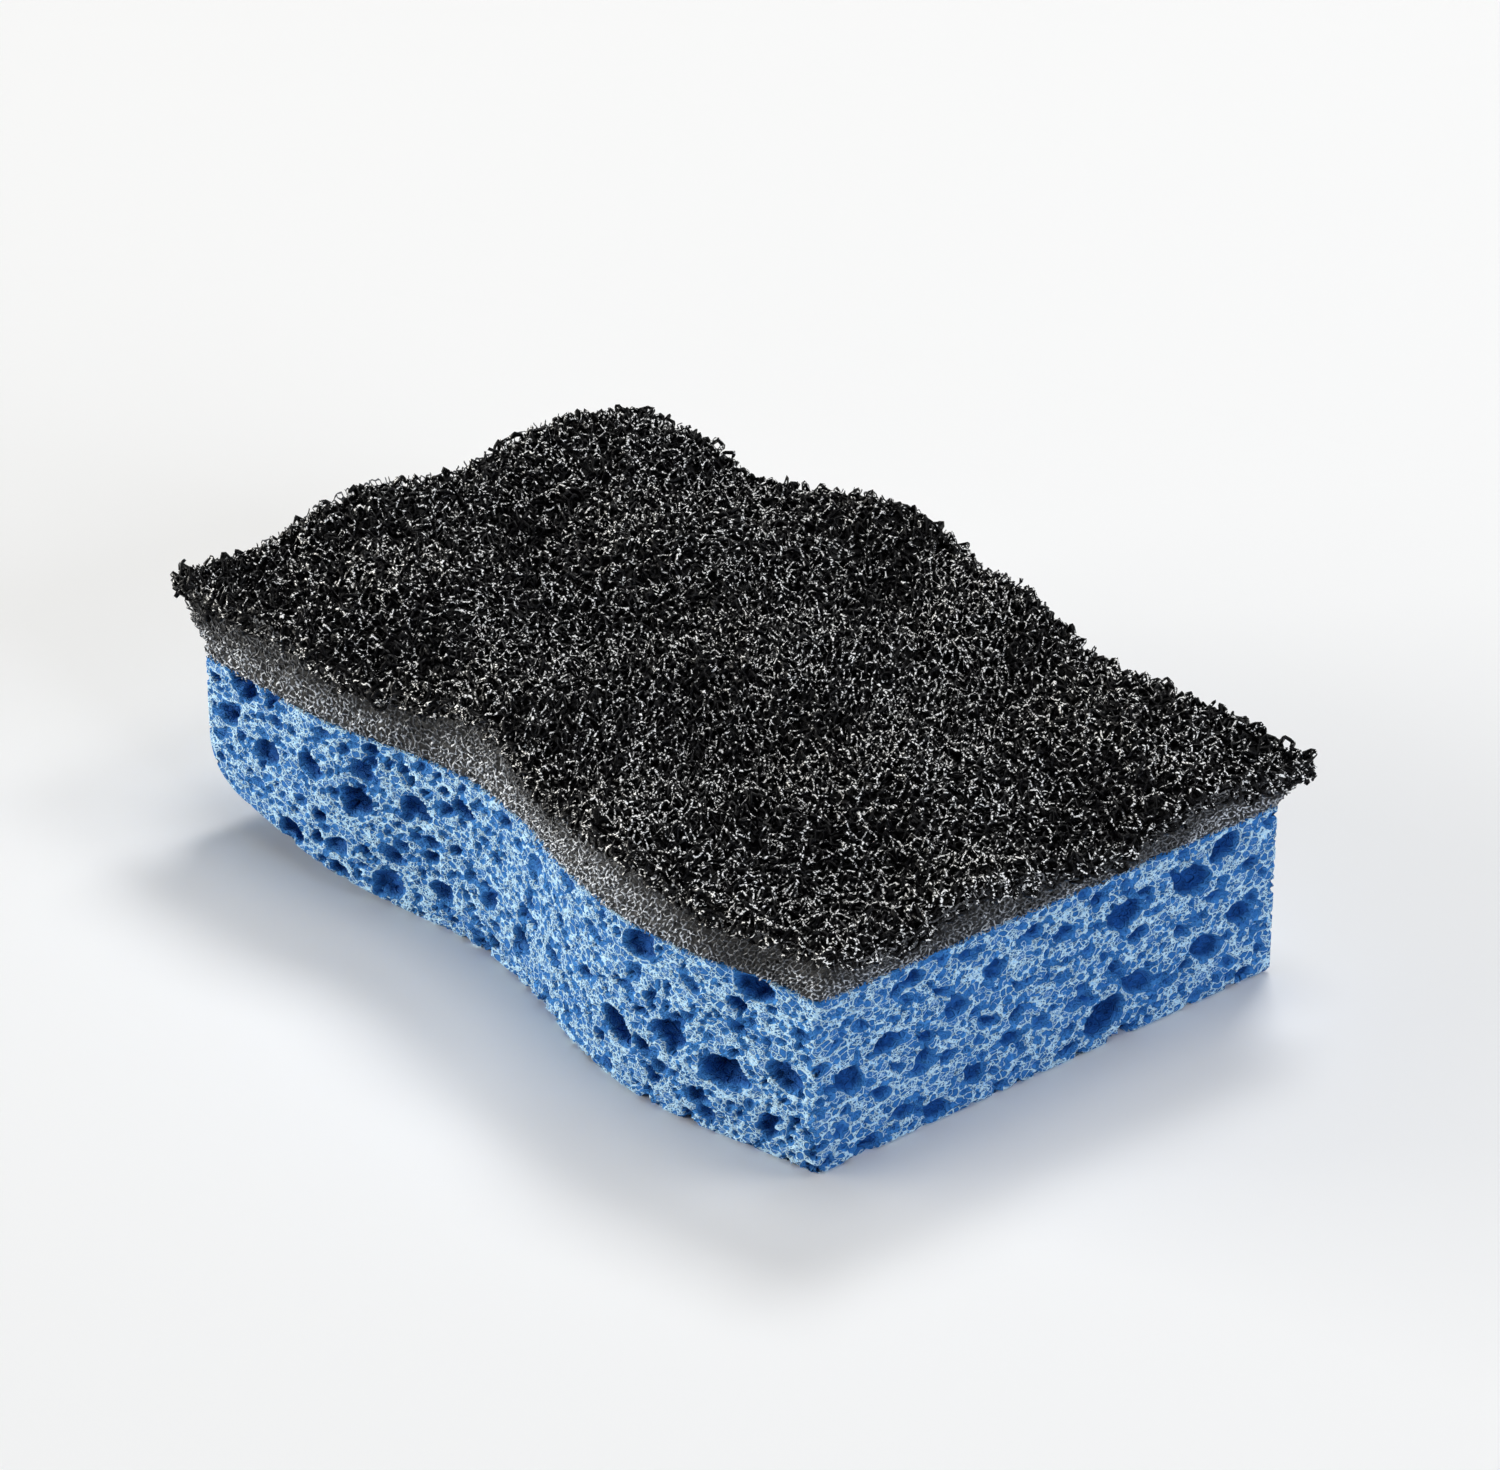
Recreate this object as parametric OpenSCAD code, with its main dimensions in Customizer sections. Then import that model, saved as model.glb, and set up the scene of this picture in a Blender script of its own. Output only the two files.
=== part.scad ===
// Cleaning sponge in three bonded layers: a block of cellulose sponge whose long sides
// follow one soft wave, a foam pad with a rippled top whose walls lean outwards, and an
// abrasive crust on the ripples. The block's underside has curled up at the left end.
// X runs along the sponge, Y across it, and the underside lies at Z = 0.

/* [Block] */
// Length between the straight ends
block_l = 114; // [80:1:150]
// Width between the wavy sides, the same all along
block_w = 71.5; // [50:0.5:90]
// Height of the cellulose block
block_h = 22; // [15:0.5:35]
// How far the underside has curled up at the left end
curl_rise = 6; // [0:0.5:6.5]
// How far in from the left end the underside starts to curl
curl_reach = 40; // [20:1:50]
// Round of the left end's lower edge
curl_round = 6; // [1:0.5:8]

/* [Side wave] */
// How far both sides swing, in at the front's waist and out at its belly
swing_depth = 3.8; // [0:0.1:6]
// Half the length of one swing
swing_reach = 28; // [18:1:40]
// Place of the waist along X
waist_x = -10; // [-30:1:0]
// Place of the belly along X
belly_x = 31; // [15:1:45]

/* [Foam pad] */
// Height of the pad at the middle of its ripples
pad_h = 8.3; // [6.5:0.1:12]
// How far the pad's top stands out past the block's ends
end_flare = 3.5; // [0:0.25:6]
// How far the pad's top stands out past the block's sides
side_flare = 1; // [0:0.25:4]
// How much higher the pad is at the left end than at its middle
left_rise = 1.8; // [-2:0.1:2]
// How much higher the pad is at the back side than at its middle
back_rise = 0.6; // [-1:0.1:1]

/* [Ripples] */
// Height of the ripples that follow each other along the sponge
long_ripple_h = 0.9; // [0:0.05:1.5]
// Height of the ripples that follow each other across it
cross_ripple_h = 1.2; // [0:0.05:1.5]
// Distance from crest to crest, both ways
ripple_len = 32; // [22:1:60]
// Turn of the ripples from X
ripple_turn = -17; // [-45:1:45]
// Place of one bump along X
bump_x = 6; // [-16:0.5:16]
// Place of the same bump along Y
bump_y = 3; // [-16:0.5:16]

/* [Crust] */
// Thickness of the crust
crust_t = 1.8; // [0.8:0.1:3]
// How far the crust's upper rim is drawn in
crust_rim = 0.6; // [0:0.1:1]
// Height of a middling lump of the crust over the hollows beside it
lump_h = 0.8; // [0:0.1:1.4]

/* [Pores] */
// Width of the widest pore
pore_w_max = 6.4; // [4:0.2:8]
// Width of the narrowest pore that is cut
pore_w_min = 2.4; // [2:0.1:3.6]
// Height of a pore as a share of its width
pore_flat = 0.62; // [0.4:0.02:1]
// Depth of a pore as a share of its width
pore_deep = 0.5; // [0.3:0.05:0.7]
// Area of wall for each pore, in square millimetres
pore_area = 38; // [30:1:120]

/* [Hidden] */

// Steps of the surfaces along X and across Y
steps_x = 28;
steps_y = 17;
// Steps of the curled underside
curl_steps = 10;
// How far a cut reaches past the solid
cut_over = 1;
// Facets round a pore
pore_fn = 5;
// Clear ground kept round the middle of the underside, where the sponge is measured from
bare_r = pore_w_max;
// Steps of an even scatter in two directions, and two more for size and turn
scatter_u = 0.7548776662;
scatter_v = 0.5698402910;
scatter_w = 0.6180339887;
scatter_t = 0.4142135624;

half_l = block_l / 2;
half_w = block_w / 2;
end_wall = block_w * block_h;
side_wall = block_l * block_h;
underside = block_l * block_w;

function frac(a) = a - floor(a);
// A smooth hump, 1 at the middle and 0 from t = -1 and t = 1 outwards
function hump(t) = abs(t) < 1 ? (1 + cos(180 * t)) / 2 : 0;
// Sideways swing of both long sides at x: in at the waist, out at the belly
function swing(x) = swing_depth * (hump((x - waist_x) / swing_reach) - hump((x - belly_x) / swing_reach));
// Heading of the sides at x, as an angle from X
function heading(x) = atan2(swing(x + 0.5) - swing(x - 0.5), 1);

// Height of the pad's top above the block at x, y: two crossing sets of ripples on a gentle slope
function pad_top(x, y) =
    let (
        along = (x - bump_x) * cos(ripple_turn) + (y - bump_y) * sin(ripple_turn),
        across = (y - bump_y) * cos(ripple_turn) - (x - bump_x) * sin(ripple_turn)
    )
    pad_h - left_rise * x / half_l + back_rise * y / half_w
    + long_ripple_h * cos(360 * along / ripple_len) + cross_ripple_h * cos(360 * across / ripple_len);

// Height of the underside at x: level, then rising to the left end and its rounded lower edge
function lift(x) =
    let (
        along = x + half_l,
        curl = max(0, 1 - along / curl_reach),
        edge = max(0, 1 - along / curl_round)
    )
    curl_rise * pow(curl, 1.5) + curl_round * (1 - sqrt(max(0, 1 - edge * edge)));

// Outline of the block, seen from above
function outline() = concat(
    [for (i = [0 : 2 * steps_x]) let (x = -half_l + block_l * i / (2 * steps_x)) [x, swing(x) - half_w]],
    [for (i = [2 * steps_x : -1 : 0]) let (x = -half_l + block_l * i / (2 * steps_x)) [x, swing(x) + half_w]]
);

// Point of the pad's seat on the block, for u and v from -1 to 1 along and across
function seat(u, v) = [u * half_l, swing(u * half_l) + v * half_w, block_h];
// Point of the pad's rippled top, spread by the flare less the inset and raised by rise
function crest(u, v, rise = 0, inset = 0) =
    let (
        x = u * (half_l + end_flare - inset),
        y = swing(u * half_l) + v * (half_w + side_flare - inset)
    )
    [x, y, block_h + pad_top(x, y) + rise];
// Height of the crust in the middle of grid cell i, j: lumps and hollows take turns
function lump(i, j) =
    ((i + j) % 2 == 0 ? 0.5 : -0.5) * lump_h * (0.5 + frac(i * scatter_u + j * scatter_v));

// Share from -1 to 1 of step i of n
function share(i, n) = 2 * i / n - 1;
// The crest's points on the whole grid
function crest_grid(rise = 0, inset = 0) = [
    for (i = [0 : steps_x], j = [0 : steps_y]) crest(share(i, steps_x), share(j, steps_y), rise, inset)
];
// The crust's points in the middles of the grid's cells
function lump_grid() = [
    for (i = [0 : steps_x - 1], j = [0 : steps_y - 1])
        crest(share(i + 0.5, steps_x), share(j + 0.5, steps_y), crust_t + lump(i, j), crust_rim)
];

// Number of the grid's point i, j
function nr(i, j) = i * (steps_y + 1) + j;
// Steps round the grid's rim, counter-clockwise from its front left corner
rim = concat(
    [for (i = [0 : steps_x - 1]) [i, 0]],
    [for (j = [0 : steps_y - 1]) [steps_x, j]],
    [for (i = [steps_x : -1 : 1]) [i, steps_y]],
    [for (j = [steps_y : -1 : 1]) [0, j]]
);
rim_count = len(rim);
grid_count = (steps_x + 1) * (steps_y + 1);

// Faces between a lower and an upper rim, given as the numbers of their points
function wall_faces(low, high) = [
    for (k = [0 : rim_count - 1], t = [0, 1])
        let (next = (k + 1) % rim_count)
        t == 0 ? [low[k], high[k], high[next]] : [low[k], high[next], low[next]]
];
// Faces of a flat seat that faces downwards, from its rim to its middle
function seat_faces(low, middle) = [for (k = [0 : rim_count - 1]) [low[k], low[(k + 1) % rim_count], middle]];
// Faces of a grid that faces downwards
function under_faces() = [
    for (i = [0 : steps_x - 1], j = [0 : steps_y - 1], t = [0, 1])
        t == 0 ? [nr(i, j), nr(i + 1, j), nr(i + 1, j + 1)] : [nr(i, j), nr(i + 1, j + 1), nr(i, j + 1)]
];
// Faces of a grid that faces upwards and starts at point first
function over_faces(first) = [for (face = under_faces()) [first + face[0], first + face[2], first + face[1]]];
// Faces of such a grid with a point more in the middle of each cell, the first of them at peak
function lump_faces(first, peak) = [
    for (i = [0 : steps_x - 1], j = [0 : steps_y - 1])
        let (
            middle = peak + i * steps_y + j,
            ring = [nr(i, j), nr(i, j + 1), nr(i + 1, j + 1), nr(i + 1, j)]
        )
        for (k = [0 : 3]) [first + ring[k], first + ring[(k + 1) % 4], middle]
];

// One flattened pore, w wide, on a wall that faces -Y, turned by spin in that wall
module pore(w, spin) {
    hull()
        rotate([0, spin, 0])
            scale([w, 2 * pore_deep * w, pore_flat * w])
                rotate([90, 0, 0])
                    sphere(d = 1, $fn = pore_fn);
}

// Width of pore k: many small ones and a few wide ones
function pore_w(k) = pore_w_min + (pore_w_max - pore_w_min) * pow(frac(0.3 + k * scatter_w), 3);
function pore_spin(k) = 50 * (frac(0.1 + k * scatter_t) - 0.5);

// Pores over one long side, clear of its corners: side is -1 for the front and 1 for the back
module side_pores(side) {
    for (k = [1 : round(side_wall / pore_area)]) {
        x = block_l * (frac(0.5 + k * scatter_u) - 0.5);
        z = lift(x) + (block_h - lift(x)) * frac((side + 1) * 0.21 + k * scatter_v);
        if (abs(x) + pore_w(k) / 2 < half_l)
            translate([x, swing(x) + side * half_w, z])
                rotate([0, 0, heading(x) + (side > 0 ? 180 : 0)])
                    pore(pore_w(k), pore_spin(k));
    }
}

// Pores over one end, clear of its corners: side is -1 for the left and 1 for the right
module end_pores(side) {
    for (k = [1 : round(end_wall / pore_area)]) {
        v = block_w * (frac(0.5 + k * scatter_u) - 0.5);
        z = block_h * frac((side + 2) * 0.17 + k * scatter_v);
        if (abs(v) + pore_w(k + 3) / 2 < half_w)
            translate([side * half_l, swing(side * half_l) + v, z])
                rotate([0, 0, 90 * side])
                    pore(pore_w(k + 3), pore_spin(k));
    }
}

// Pores over the underside, left clear round the middle
module base_pores() {
    for (k = [1 : round(underside / pore_area / 3)]) {
        x = block_l * (frac(0.5 + k * scatter_u) - 0.5);
        y = block_w * (frac(0.5 + k * scatter_v) - 0.5) + swing(x);
        if (norm([x, y]) > bare_r)
            translate([x, y, lift(x)])
                rotate([90, 0, 0])
                    pore(pore_w(k + 5), pore_spin(k));
    }
}

// What the block lacks under its curled left end
module curl() {
    profile = [
        for (i = [0 : curl_steps])
            let (x = -half_l + curl_reach * pow(i / curl_steps, 2))
            [x, lift(x)]
    ];
    inner = [curl_reach - half_l, -cut_over];
    outer = [-half_l - cut_over, -cut_over];
    rotate([90, 0, 0])
        linear_extrude(2 * block_w, center = true)
            polygon(concat(profile, [inner, outer, [outer[0], profile[0][1]]]));
}

module sponge_block() {
    color([0.33, 0.53, 0.78])
        difference() {
            linear_extrude(block_h)
                polygon(outline());
            curl();
            for (side = [-1, 1]) {
                side_pores(side);
                end_pores(side);
            }
            base_pores();
        }
}

module foam_pad() {
    seat_rim = [for (step = rim) seat(share(step[0], steps_x), share(step[1], steps_y))];
    low = [for (k = [0 : rim_count - 1]) k];
    middle = rim_count;
    first = middle + 1;
    high = [for (step = rim) first + nr(step[0], step[1])];
    color([0.42, 0.43, 0.44])
        polyhedron(
            points = concat(seat_rim, [seat(0, 0)], crest_grid()),
            faces = concat(seat_faces(low, middle), wall_faces(low, high), over_faces(first))
        );
}

module grit_coat() {
    low = [for (step = rim) nr(step[0], step[1])];
    high = [for (number = low) grid_count + number];
    color([0.1, 0.1, 0.11])
        polyhedron(
            points = concat(crest_grid(), crest_grid(crust_t, crust_rim), lump_grid()),
            faces = concat(under_faces(), wall_faces(low, high), lump_faces(grid_count, 2 * grid_count))
        );
}

sponge_block();
foam_pad();
grit_coat();
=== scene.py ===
"""The looks of a scouring sponge: a porous blue block, a grey foam pad and a black grit crust.

Every length is in millimetres until a mesh is made, and the axes are the part's own: X runs
along the sponge, Y across it, and the underside lies at Z = 0.
"""

import logging
import math
from dataclasses import dataclass
from enum import Enum
from typing import Callable, NamedTuple

import bpy
import numpy as np
from mathutils import Matrix, Vector


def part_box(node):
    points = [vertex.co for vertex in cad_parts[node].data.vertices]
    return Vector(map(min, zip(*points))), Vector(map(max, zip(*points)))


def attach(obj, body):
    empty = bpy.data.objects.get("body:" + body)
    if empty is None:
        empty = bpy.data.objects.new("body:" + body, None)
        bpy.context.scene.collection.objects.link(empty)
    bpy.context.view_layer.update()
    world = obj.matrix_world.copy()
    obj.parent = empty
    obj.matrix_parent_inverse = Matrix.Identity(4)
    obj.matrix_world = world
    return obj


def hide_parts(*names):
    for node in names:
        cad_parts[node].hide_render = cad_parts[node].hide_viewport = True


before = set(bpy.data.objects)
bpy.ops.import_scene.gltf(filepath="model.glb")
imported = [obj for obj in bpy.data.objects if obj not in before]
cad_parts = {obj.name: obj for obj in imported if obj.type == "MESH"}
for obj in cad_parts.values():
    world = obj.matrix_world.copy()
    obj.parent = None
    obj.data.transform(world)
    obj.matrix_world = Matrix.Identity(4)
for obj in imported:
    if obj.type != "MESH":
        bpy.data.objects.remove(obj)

LOG = logging.getLogger("sponge")
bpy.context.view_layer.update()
METRE = 0.001
BODY = "root"
# Steps of an even scatter in two directions, and two more for size and turn
SCATTER_U = 0.7548776662
SCATTER_V = 0.5698402910
SCATTER_W = 0.6180339887
SCATTER_T = 0.4142135624
SCATTER_D = 0.3247179572
# Odd factors that spread a cell's three indices and its seed, and the shifts and factors that stir them
CELL_FACTORS = (73856093, 19349663, 83492791)
SEED_FACTOR = 2654435761
STIRS = ((16, 0x7FEB352D), (15, 0x846CA68B))
# Points that a net's node holds: its ridge, its keel and a corner towards each of three cells
NODE_POINTS = 5
# How steeply a bubble's floor falls in from its rim
RIM_FALL = 2.5

Colour = tuple[float, float, float]
Span = tuple[float, float]
Socket = bpy.types.NodeSocket


class Slot(Enum):
    """Names of three material slots."""

    CELLULOSE = "cellulose_sponge"
    FOAM = "grey_foam"
    GRIT = "black_grit"


class Side(Enum):
    """The two caps of a layer."""

    LOWER = -1
    UPPER = 1


# Even random numbers and smooth noise, fixed by their seeds


def cell_random(cells: np.ndarray, seed: int) -> np.ndarray:
    """A random number from 0 to 1 for each whole-numbered cell.

    Each index is multiplied by its own large odd number, the products are mixed by exclusive
    or, and the result is stirred by shifts and multiplications.

    Args:
        cells: Whole-numbered cell indices, the last axis of length 3.
        seed: Picks one of many such fields.

    Returns:
        One number for each cell.
    """
    mixed = np.uint32((seed * SEED_FACTOR) % 2**32)
    for axis, factor in enumerate(CELL_FACTORS):
        mixed = mixed ^ cells[..., axis].astype(np.int64).astype(np.uint32) * np.uint32(factor)
    for shift, factor in STIRS:
        mixed ^= mixed >> np.uint32(shift)
        mixed = mixed * np.uint32(factor)
    mixed ^= mixed >> np.uint32(STIRS[0][0])
    return mixed / 2.0**32


def smooth_noise(points: np.ndarray, size: float, seed: int) -> np.ndarray:
    """Smooth noise from -1 to 1: random values at the corners of cubes, blended inside each.

    Args:
        points: Points, the last axis of length 3.
        size: Edge of the cubes.
        seed: Picks one of many such fields.

    Returns:
        One number for each point.
    """
    scaled = points / size
    low = np.floor(scaled)
    share = scaled - low
    share = share * share * (3 - 2 * share)
    total = np.zeros(points.shape[:-1])
    for corner in np.ndindex(2, 2, 2):
        step = np.array(corner)
        weight = np.prod(np.where(step == 1, share, 1 - share), axis=-1)
        total += weight * cell_random(low + step, seed)
    return 2 * total - 1


def noise_vector(points: np.ndarray, size: float, seed: int) -> np.ndarray:
    """Three independent fields of smooth noise, as a vector for each point."""
    return np.stack([smooth_noise(points, size, seed + axis) for axis in range(3)], axis=-1)


def unit(vectors: np.ndarray) -> np.ndarray:
    """Each vector divided by its length."""
    return vectors / np.maximum(np.linalg.norm(vectors, axis=-1, keepdims=True), 1e-9)


def ramp(value: np.ndarray, low: float, high: float) -> np.ndarray:
    """A smooth step that is 0 up to low and 1 from high on."""
    share = np.clip((value - low) / (high - low), 0, 1)
    return share * share * (3 - 2 * share)


class Wander(NamedTuple):
    """A field of smooth noise: how far it reaches, the size of its features and its seed."""

    reach: float
    size: float
    seed: int

    def at(self, points: np.ndarray) -> np.ndarray:
        """One number from -reach to reach for each point."""
        return self.reach * smooth_noise(points, self.size, self.seed)

    def shift(self, points: np.ndarray) -> np.ndarray:
        """One vector for each point, its parts from -reach to reach."""
        return self.reach * noise_vector(points, self.size, self.seed)


# The form, by the same formulas as the construction model


@dataclass(frozen=True)
class Form:
    """The sponge's outline, its pad's rippled top and the places of its wide pores.

    The block's length, width and height come from the frame. The rest repeats the
    construction model's named values.
    """

    half_l: float
    half_w: float
    block_h: float
    swing_depth: float = 3.8
    swing_reach: float = 28.0
    waist_x: float = -10.0
    belly_x: float = 31.0
    curl_rise: float = 6.0
    curl_reach: float = 40.0
    curl_round: float = 6.0
    squeeze_reach: float = 12.0
    pad_h: float = 8.3
    end_flare: float = 3.5
    side_flare: float = 1.0
    left_rise: float = 1.8
    back_rise: float = 0.6
    long_ripple_h: float = 0.9
    cross_ripple_h: float = 1.2
    ripple_len: float = 32.0
    ripple_turn: float = -17.0
    bump_x: float = 6.0
    bump_y: float = 3.0
    crust_t: float = 1.8
    crust_rim: float = 0.6
    lump_h: float = 0.8
    lumps_x: int = 28
    lumps_y: int = 17
    pore_w_max: float = 6.4
    pore_w_min: float = 2.4
    pore_flat: float = 0.62
    pore_deep: float = 0.5
    pore_area: float = 38.0
    rough_fine: Wander = Wander(0.4, 2.4, 151)
    rough_broad: Wander = Wander(0.3, 5.5, 157)

    @classmethod
    def from_frame(cls) -> "Form":
        """The form whose block has the size that the frame's block has.

        Returns:
            The form, with every other value as it stands here.
        """
        low, high = (np.array(corner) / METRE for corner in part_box("sponge_block"))
        size = high - low
        return cls(size[0] / 2, size[1] / 2 - cls.swing_depth, size[2])

    def cells(self, step: float, flared: bool = False) -> tuple[int, int]:
        """Number of steps along the block and across it, or along and across the flared top.

        Args:
            step: Length of one step.
            flared: Whether the top's outline is meant.

        Returns:
            The two numbers.
        """
        long_way, short_way = self.half_l, self.half_w
        if flared:
            long_way, short_way = long_way + self.end_flare, short_way + self.side_flare
        return round(2 * long_way / step), round(2 * short_way / step)

    def hump(self, x: np.ndarray, place: float) -> np.ndarray:
        """A cosine hump along X: 1 at its place, and 0 from the swing's reach outwards."""
        share = np.clip(np.abs((x - place) / self.swing_reach), 0, 1)
        return (1 + np.cos(np.pi * share)) / 2

    def swing(self, x: np.ndarray) -> np.ndarray:
        """Sideways swing of both long sides at x: one hump in and one out."""
        return self.swing_depth * (self.hump(x, self.waist_x) - self.hump(x, self.belly_x))

    def pad_top(self, x: np.ndarray, y: np.ndarray) -> np.ndarray:
        """Height of the pad's top over the block: two crossing cosines on a gentle slope.

        Args:
            x: Place along the sponge.
            y: Place across it.

        Returns:
            The height at each place.
        """
        turn = math.radians(self.ripple_turn)
        along = (x - self.bump_x) * math.cos(turn) + (y - self.bump_y) * math.sin(turn)
        across = (y - self.bump_y) * math.cos(turn) - (x - self.bump_x) * math.sin(turn)
        slope = self.back_rise * y / self.half_w - self.left_rise * x / self.half_l
        wave = 2 * np.pi / self.ripple_len
        return (
            self.pad_h + slope
            + self.long_ripple_h * np.cos(wave * along)
            + self.cross_ripple_h * np.cos(wave * across)
        )

    def lift(self, x: np.ndarray) -> np.ndarray:
        """Height of the underside at x: level, then a curl of power 1.5, and a round left edge.

        Args:
            x: Place along the sponge.

        Returns:
            The height at each place.
        """
        along = x + self.half_l
        curl = np.clip(1 - along / self.curl_reach, 0, None)
        edge = np.clip(1 - along / self.curl_round, 0, 1)
        return self.curl_rise * curl**1.5 + self.curl_round * (1 - np.sqrt(1 - edge * edge))

    def side(self, u: np.ndarray, v: np.ndarray, share: float, inset: float = 0.0) -> np.ndarray:
        """The block's outline filled, at a share of the height from the underside to the top.

        The round left edge is halved: its upper half belongs to the wall, whose lower rows
        step back there, and its lower half to the underside.

        Args:
            u: Place along the half length, from -1 to 1.
            v: Place across the half width, from -1 to 1.
            share: From 0 at the underside to 1 at the top.
            inset: How far the outline is drawn in.

        Returns:
            The points.
        """
        heel = self.curl_round * (1 - math.sqrt(0.5))
        x = u * (self.half_l - inset)
        near = np.clip(1 - (x + self.half_l) / self.squeeze_reach, 0, 1) ** 2
        low = self.lift(x + near * heel)
        end_low = float(self.lift(np.array(heel - self.half_l)))
        climbed = (self.block_h - end_low) * share / self.curl_round
        edge = max(0.0, math.sqrt(0.5) - climbed)
        x = x + near * self.curl_round * (1 - math.sqrt(1 - edge * edge))
        y = self.swing(x) + v * (self.half_w - inset)
        return np.stack([x, y, low + (self.block_h - low) * share], axis=-1)

    def crest(self, u: np.ndarray, v: np.ndarray, rise: float = 0.0, inset: float = 0.0) -> np.ndarray:
        """The pad's top, spread by the flare, less the inset, and lifted by the rise.

        Args:
            u: Place along the half length, from -1 to 1.
            v: Place across the half width, from -1 to 1.
            rise: Height over the pad's top.
            inset: How far the outline is drawn in.

        Returns:
            The points.
        """
        x = u * (self.half_l + self.end_flare - inset)
        y = self.swing(u * self.half_l) + v * (self.half_w + self.side_flare - inset)
        return np.stack([x, y, self.block_h + self.pad_top(x, y) + rise], axis=-1)

    def lump(self, u: np.ndarray, v: np.ndarray) -> np.ndarray:
        """Lumps and hollows of the crust: a product of two sines, each cell with its own height.

        Args:
            u: Place along the half length, from -1 to 1.
            v: Place across the half width, from -1 to 1.

        Returns:
            The height at each place.
        """
        i, j = (u + 1) / 2 * self.lumps_x, (v + 1) / 2 * self.lumps_y
        own = 0.5 + (np.floor(i) * SCATTER_U + np.floor(j) * SCATTER_V) % 1
        return self.lump_h / 2 * own * np.sin(np.pi * i) * np.sin(np.pi * j)

    def rough(self, x: np.ndarray, y: np.ndarray) -> np.ndarray:
        """Uneven height of the crust over its lumps: smooth noise of two sizes."""
        flat = np.stack([x, y, np.zeros_like(x)], axis=-1)
        return self.rough_fine.at(flat) + self.rough_broad.at(flat)


class Pore(NamedTuple):
    """One wide pore: its middle, its wall's outward direction, its width, turn and depth."""

    middle: np.ndarray
    outward: np.ndarray
    along: np.ndarray
    width: float
    spin: float
    deep: float


@dataclass(frozen=True)
class PoreScatter:
    """The wide pores of the construction model, by its own scatter rule.

    A start is where an even scatter begins, and a shift is how far it moves on from wall to
    wall, so that no two walls are alike.
    """

    form: Form
    width_start: float = 0.3
    spin_start: float = 0.1
    deep_start: float = 0.2
    widest_spin: float = 50.0
    shallowest: float = 0.45
    side_shift: float = 0.21
    end_shift: float = 0.17
    end_widths: int = 3
    base_widths: int = 5

    def width(self, k: int) -> float:
        """Width of pore k: many small ones and a few wide ones.

        Args:
            k: Number of the pore on its wall.

        Returns:
            The width.
        """
        form = self.form
        share = (self.width_start + k * SCATTER_W) % 1
        return form.pore_w_min + (form.pore_w_max - form.pore_w_min) * share**3

    def spin(self, k: int) -> float:
        """Turn of pore k in its wall, in radians."""
        return math.radians(self.widest_spin * ((self.spin_start + k * SCATTER_T) % 1 - 0.5))

    def deep(self, k: int) -> float:
        """Depth of pore k as a share of its width: some shallow, some full."""
        share = (self.deep_start + k * SCATTER_D) % 1
        return self.form.pore_deep * (self.shallowest + (1 - self.shallowest) * share)

    def count(self, area: float) -> int:
        """Number of pores on a wall of the given area."""
        return round(area / self.form.pore_area)

    def pore(self, k: int, width: float, middle: list[float], outward: list[float],
             along: list[float]) -> Pore:
        """Pore k with its width, its middle, and its wall's outward and level directions."""
        return Pore(np.array(middle), np.array(outward), np.array(along), width, self.spin(k), self.deep(k))

    def on_sides(self) -> list[Pore]:
        """The pores of the two long sides, clear of the corners.

        Returns:
            The pores, those of the front first.
        """
        form, pores = self.form, []
        for side in (-1, 1):
            for k in range(1, self.count(2 * form.half_l * form.block_h) + 1):
                x = 2 * form.half_l * ((0.5 + k * SCATTER_U) % 1 - 0.5)
                low, swing = float(form.lift(np.array(x))), float(form.swing(np.array(x)))
                share = ((side + 1) * self.side_shift + k * SCATTER_V) % 1
                slope = float(form.swing(np.array(x + 0.5)) - form.swing(np.array(x - 0.5)))
                along = unit(np.array([1.0, slope, 0.0])) * -side
                width = self.width(k)
                if abs(x) + width / 2 < form.half_l:
                    middle = [x, swing + side * form.half_w, low + (form.block_h - low) * share]
                    pores.append(self.pore(k, width, middle, [along[1], -along[0], 0.0], along))
        return pores

    def on_ends(self) -> list[Pore]:
        """The pores of the two ends, clear of the corners.

        Returns:
            The pores, those of the left end first.
        """
        form, pores = self.form, []
        for side in (-1.0, 1.0):
            swing = float(form.swing(np.array(side * form.half_l)))
            for k in range(1, self.count(2 * form.half_w * form.block_h) + 1):
                v = 2 * form.half_w * ((0.5 + k * SCATTER_U) % 1 - 0.5)
                z = form.block_h * (((side + 2) * self.end_shift + k * SCATTER_V) % 1)
                width = self.width(k + self.end_widths)
                if abs(v) + width / 2 < form.half_w:
                    middle = [side * form.half_l, swing + v, z]
                    pores.append(self.pore(k, width, middle, [side, 0.0, 0.0], [0.0, side, 0.0]))
        return pores

    def on_base(self) -> list[Pore]:
        """The pores of the underside, fewer than on a wall and none round its middle.

        Returns:
            The pores.
        """
        form, pores = self.form, []
        for k in range(1, self.count(4 * form.half_l * form.half_w / 3) + 1):
            x = 2 * form.half_l * ((0.5 + k * SCATTER_U) % 1 - 0.5)
            swing = float(form.swing(np.array(x)))
            y = 2 * form.half_w * ((0.5 + k * SCATTER_V) % 1 - 0.5) + swing
            if math.hypot(x, y) > form.pore_w_max:
                middle = [x, y, float(form.lift(np.array(x)))]
                width = self.width(k + self.base_widths)
                pores.append(self.pore(k, width, middle, [0.0, 0.0, -1.0], [1.0, 0.0, 0.0]))
        return pores


# Meshes


class Grown(NamedTuple):
    """A mesh on its way: points, faces as arrays of indices, and numbers for each point."""

    points: np.ndarray
    faces: list[np.ndarray]
    numbers: dict[str, np.ndarray]


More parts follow.
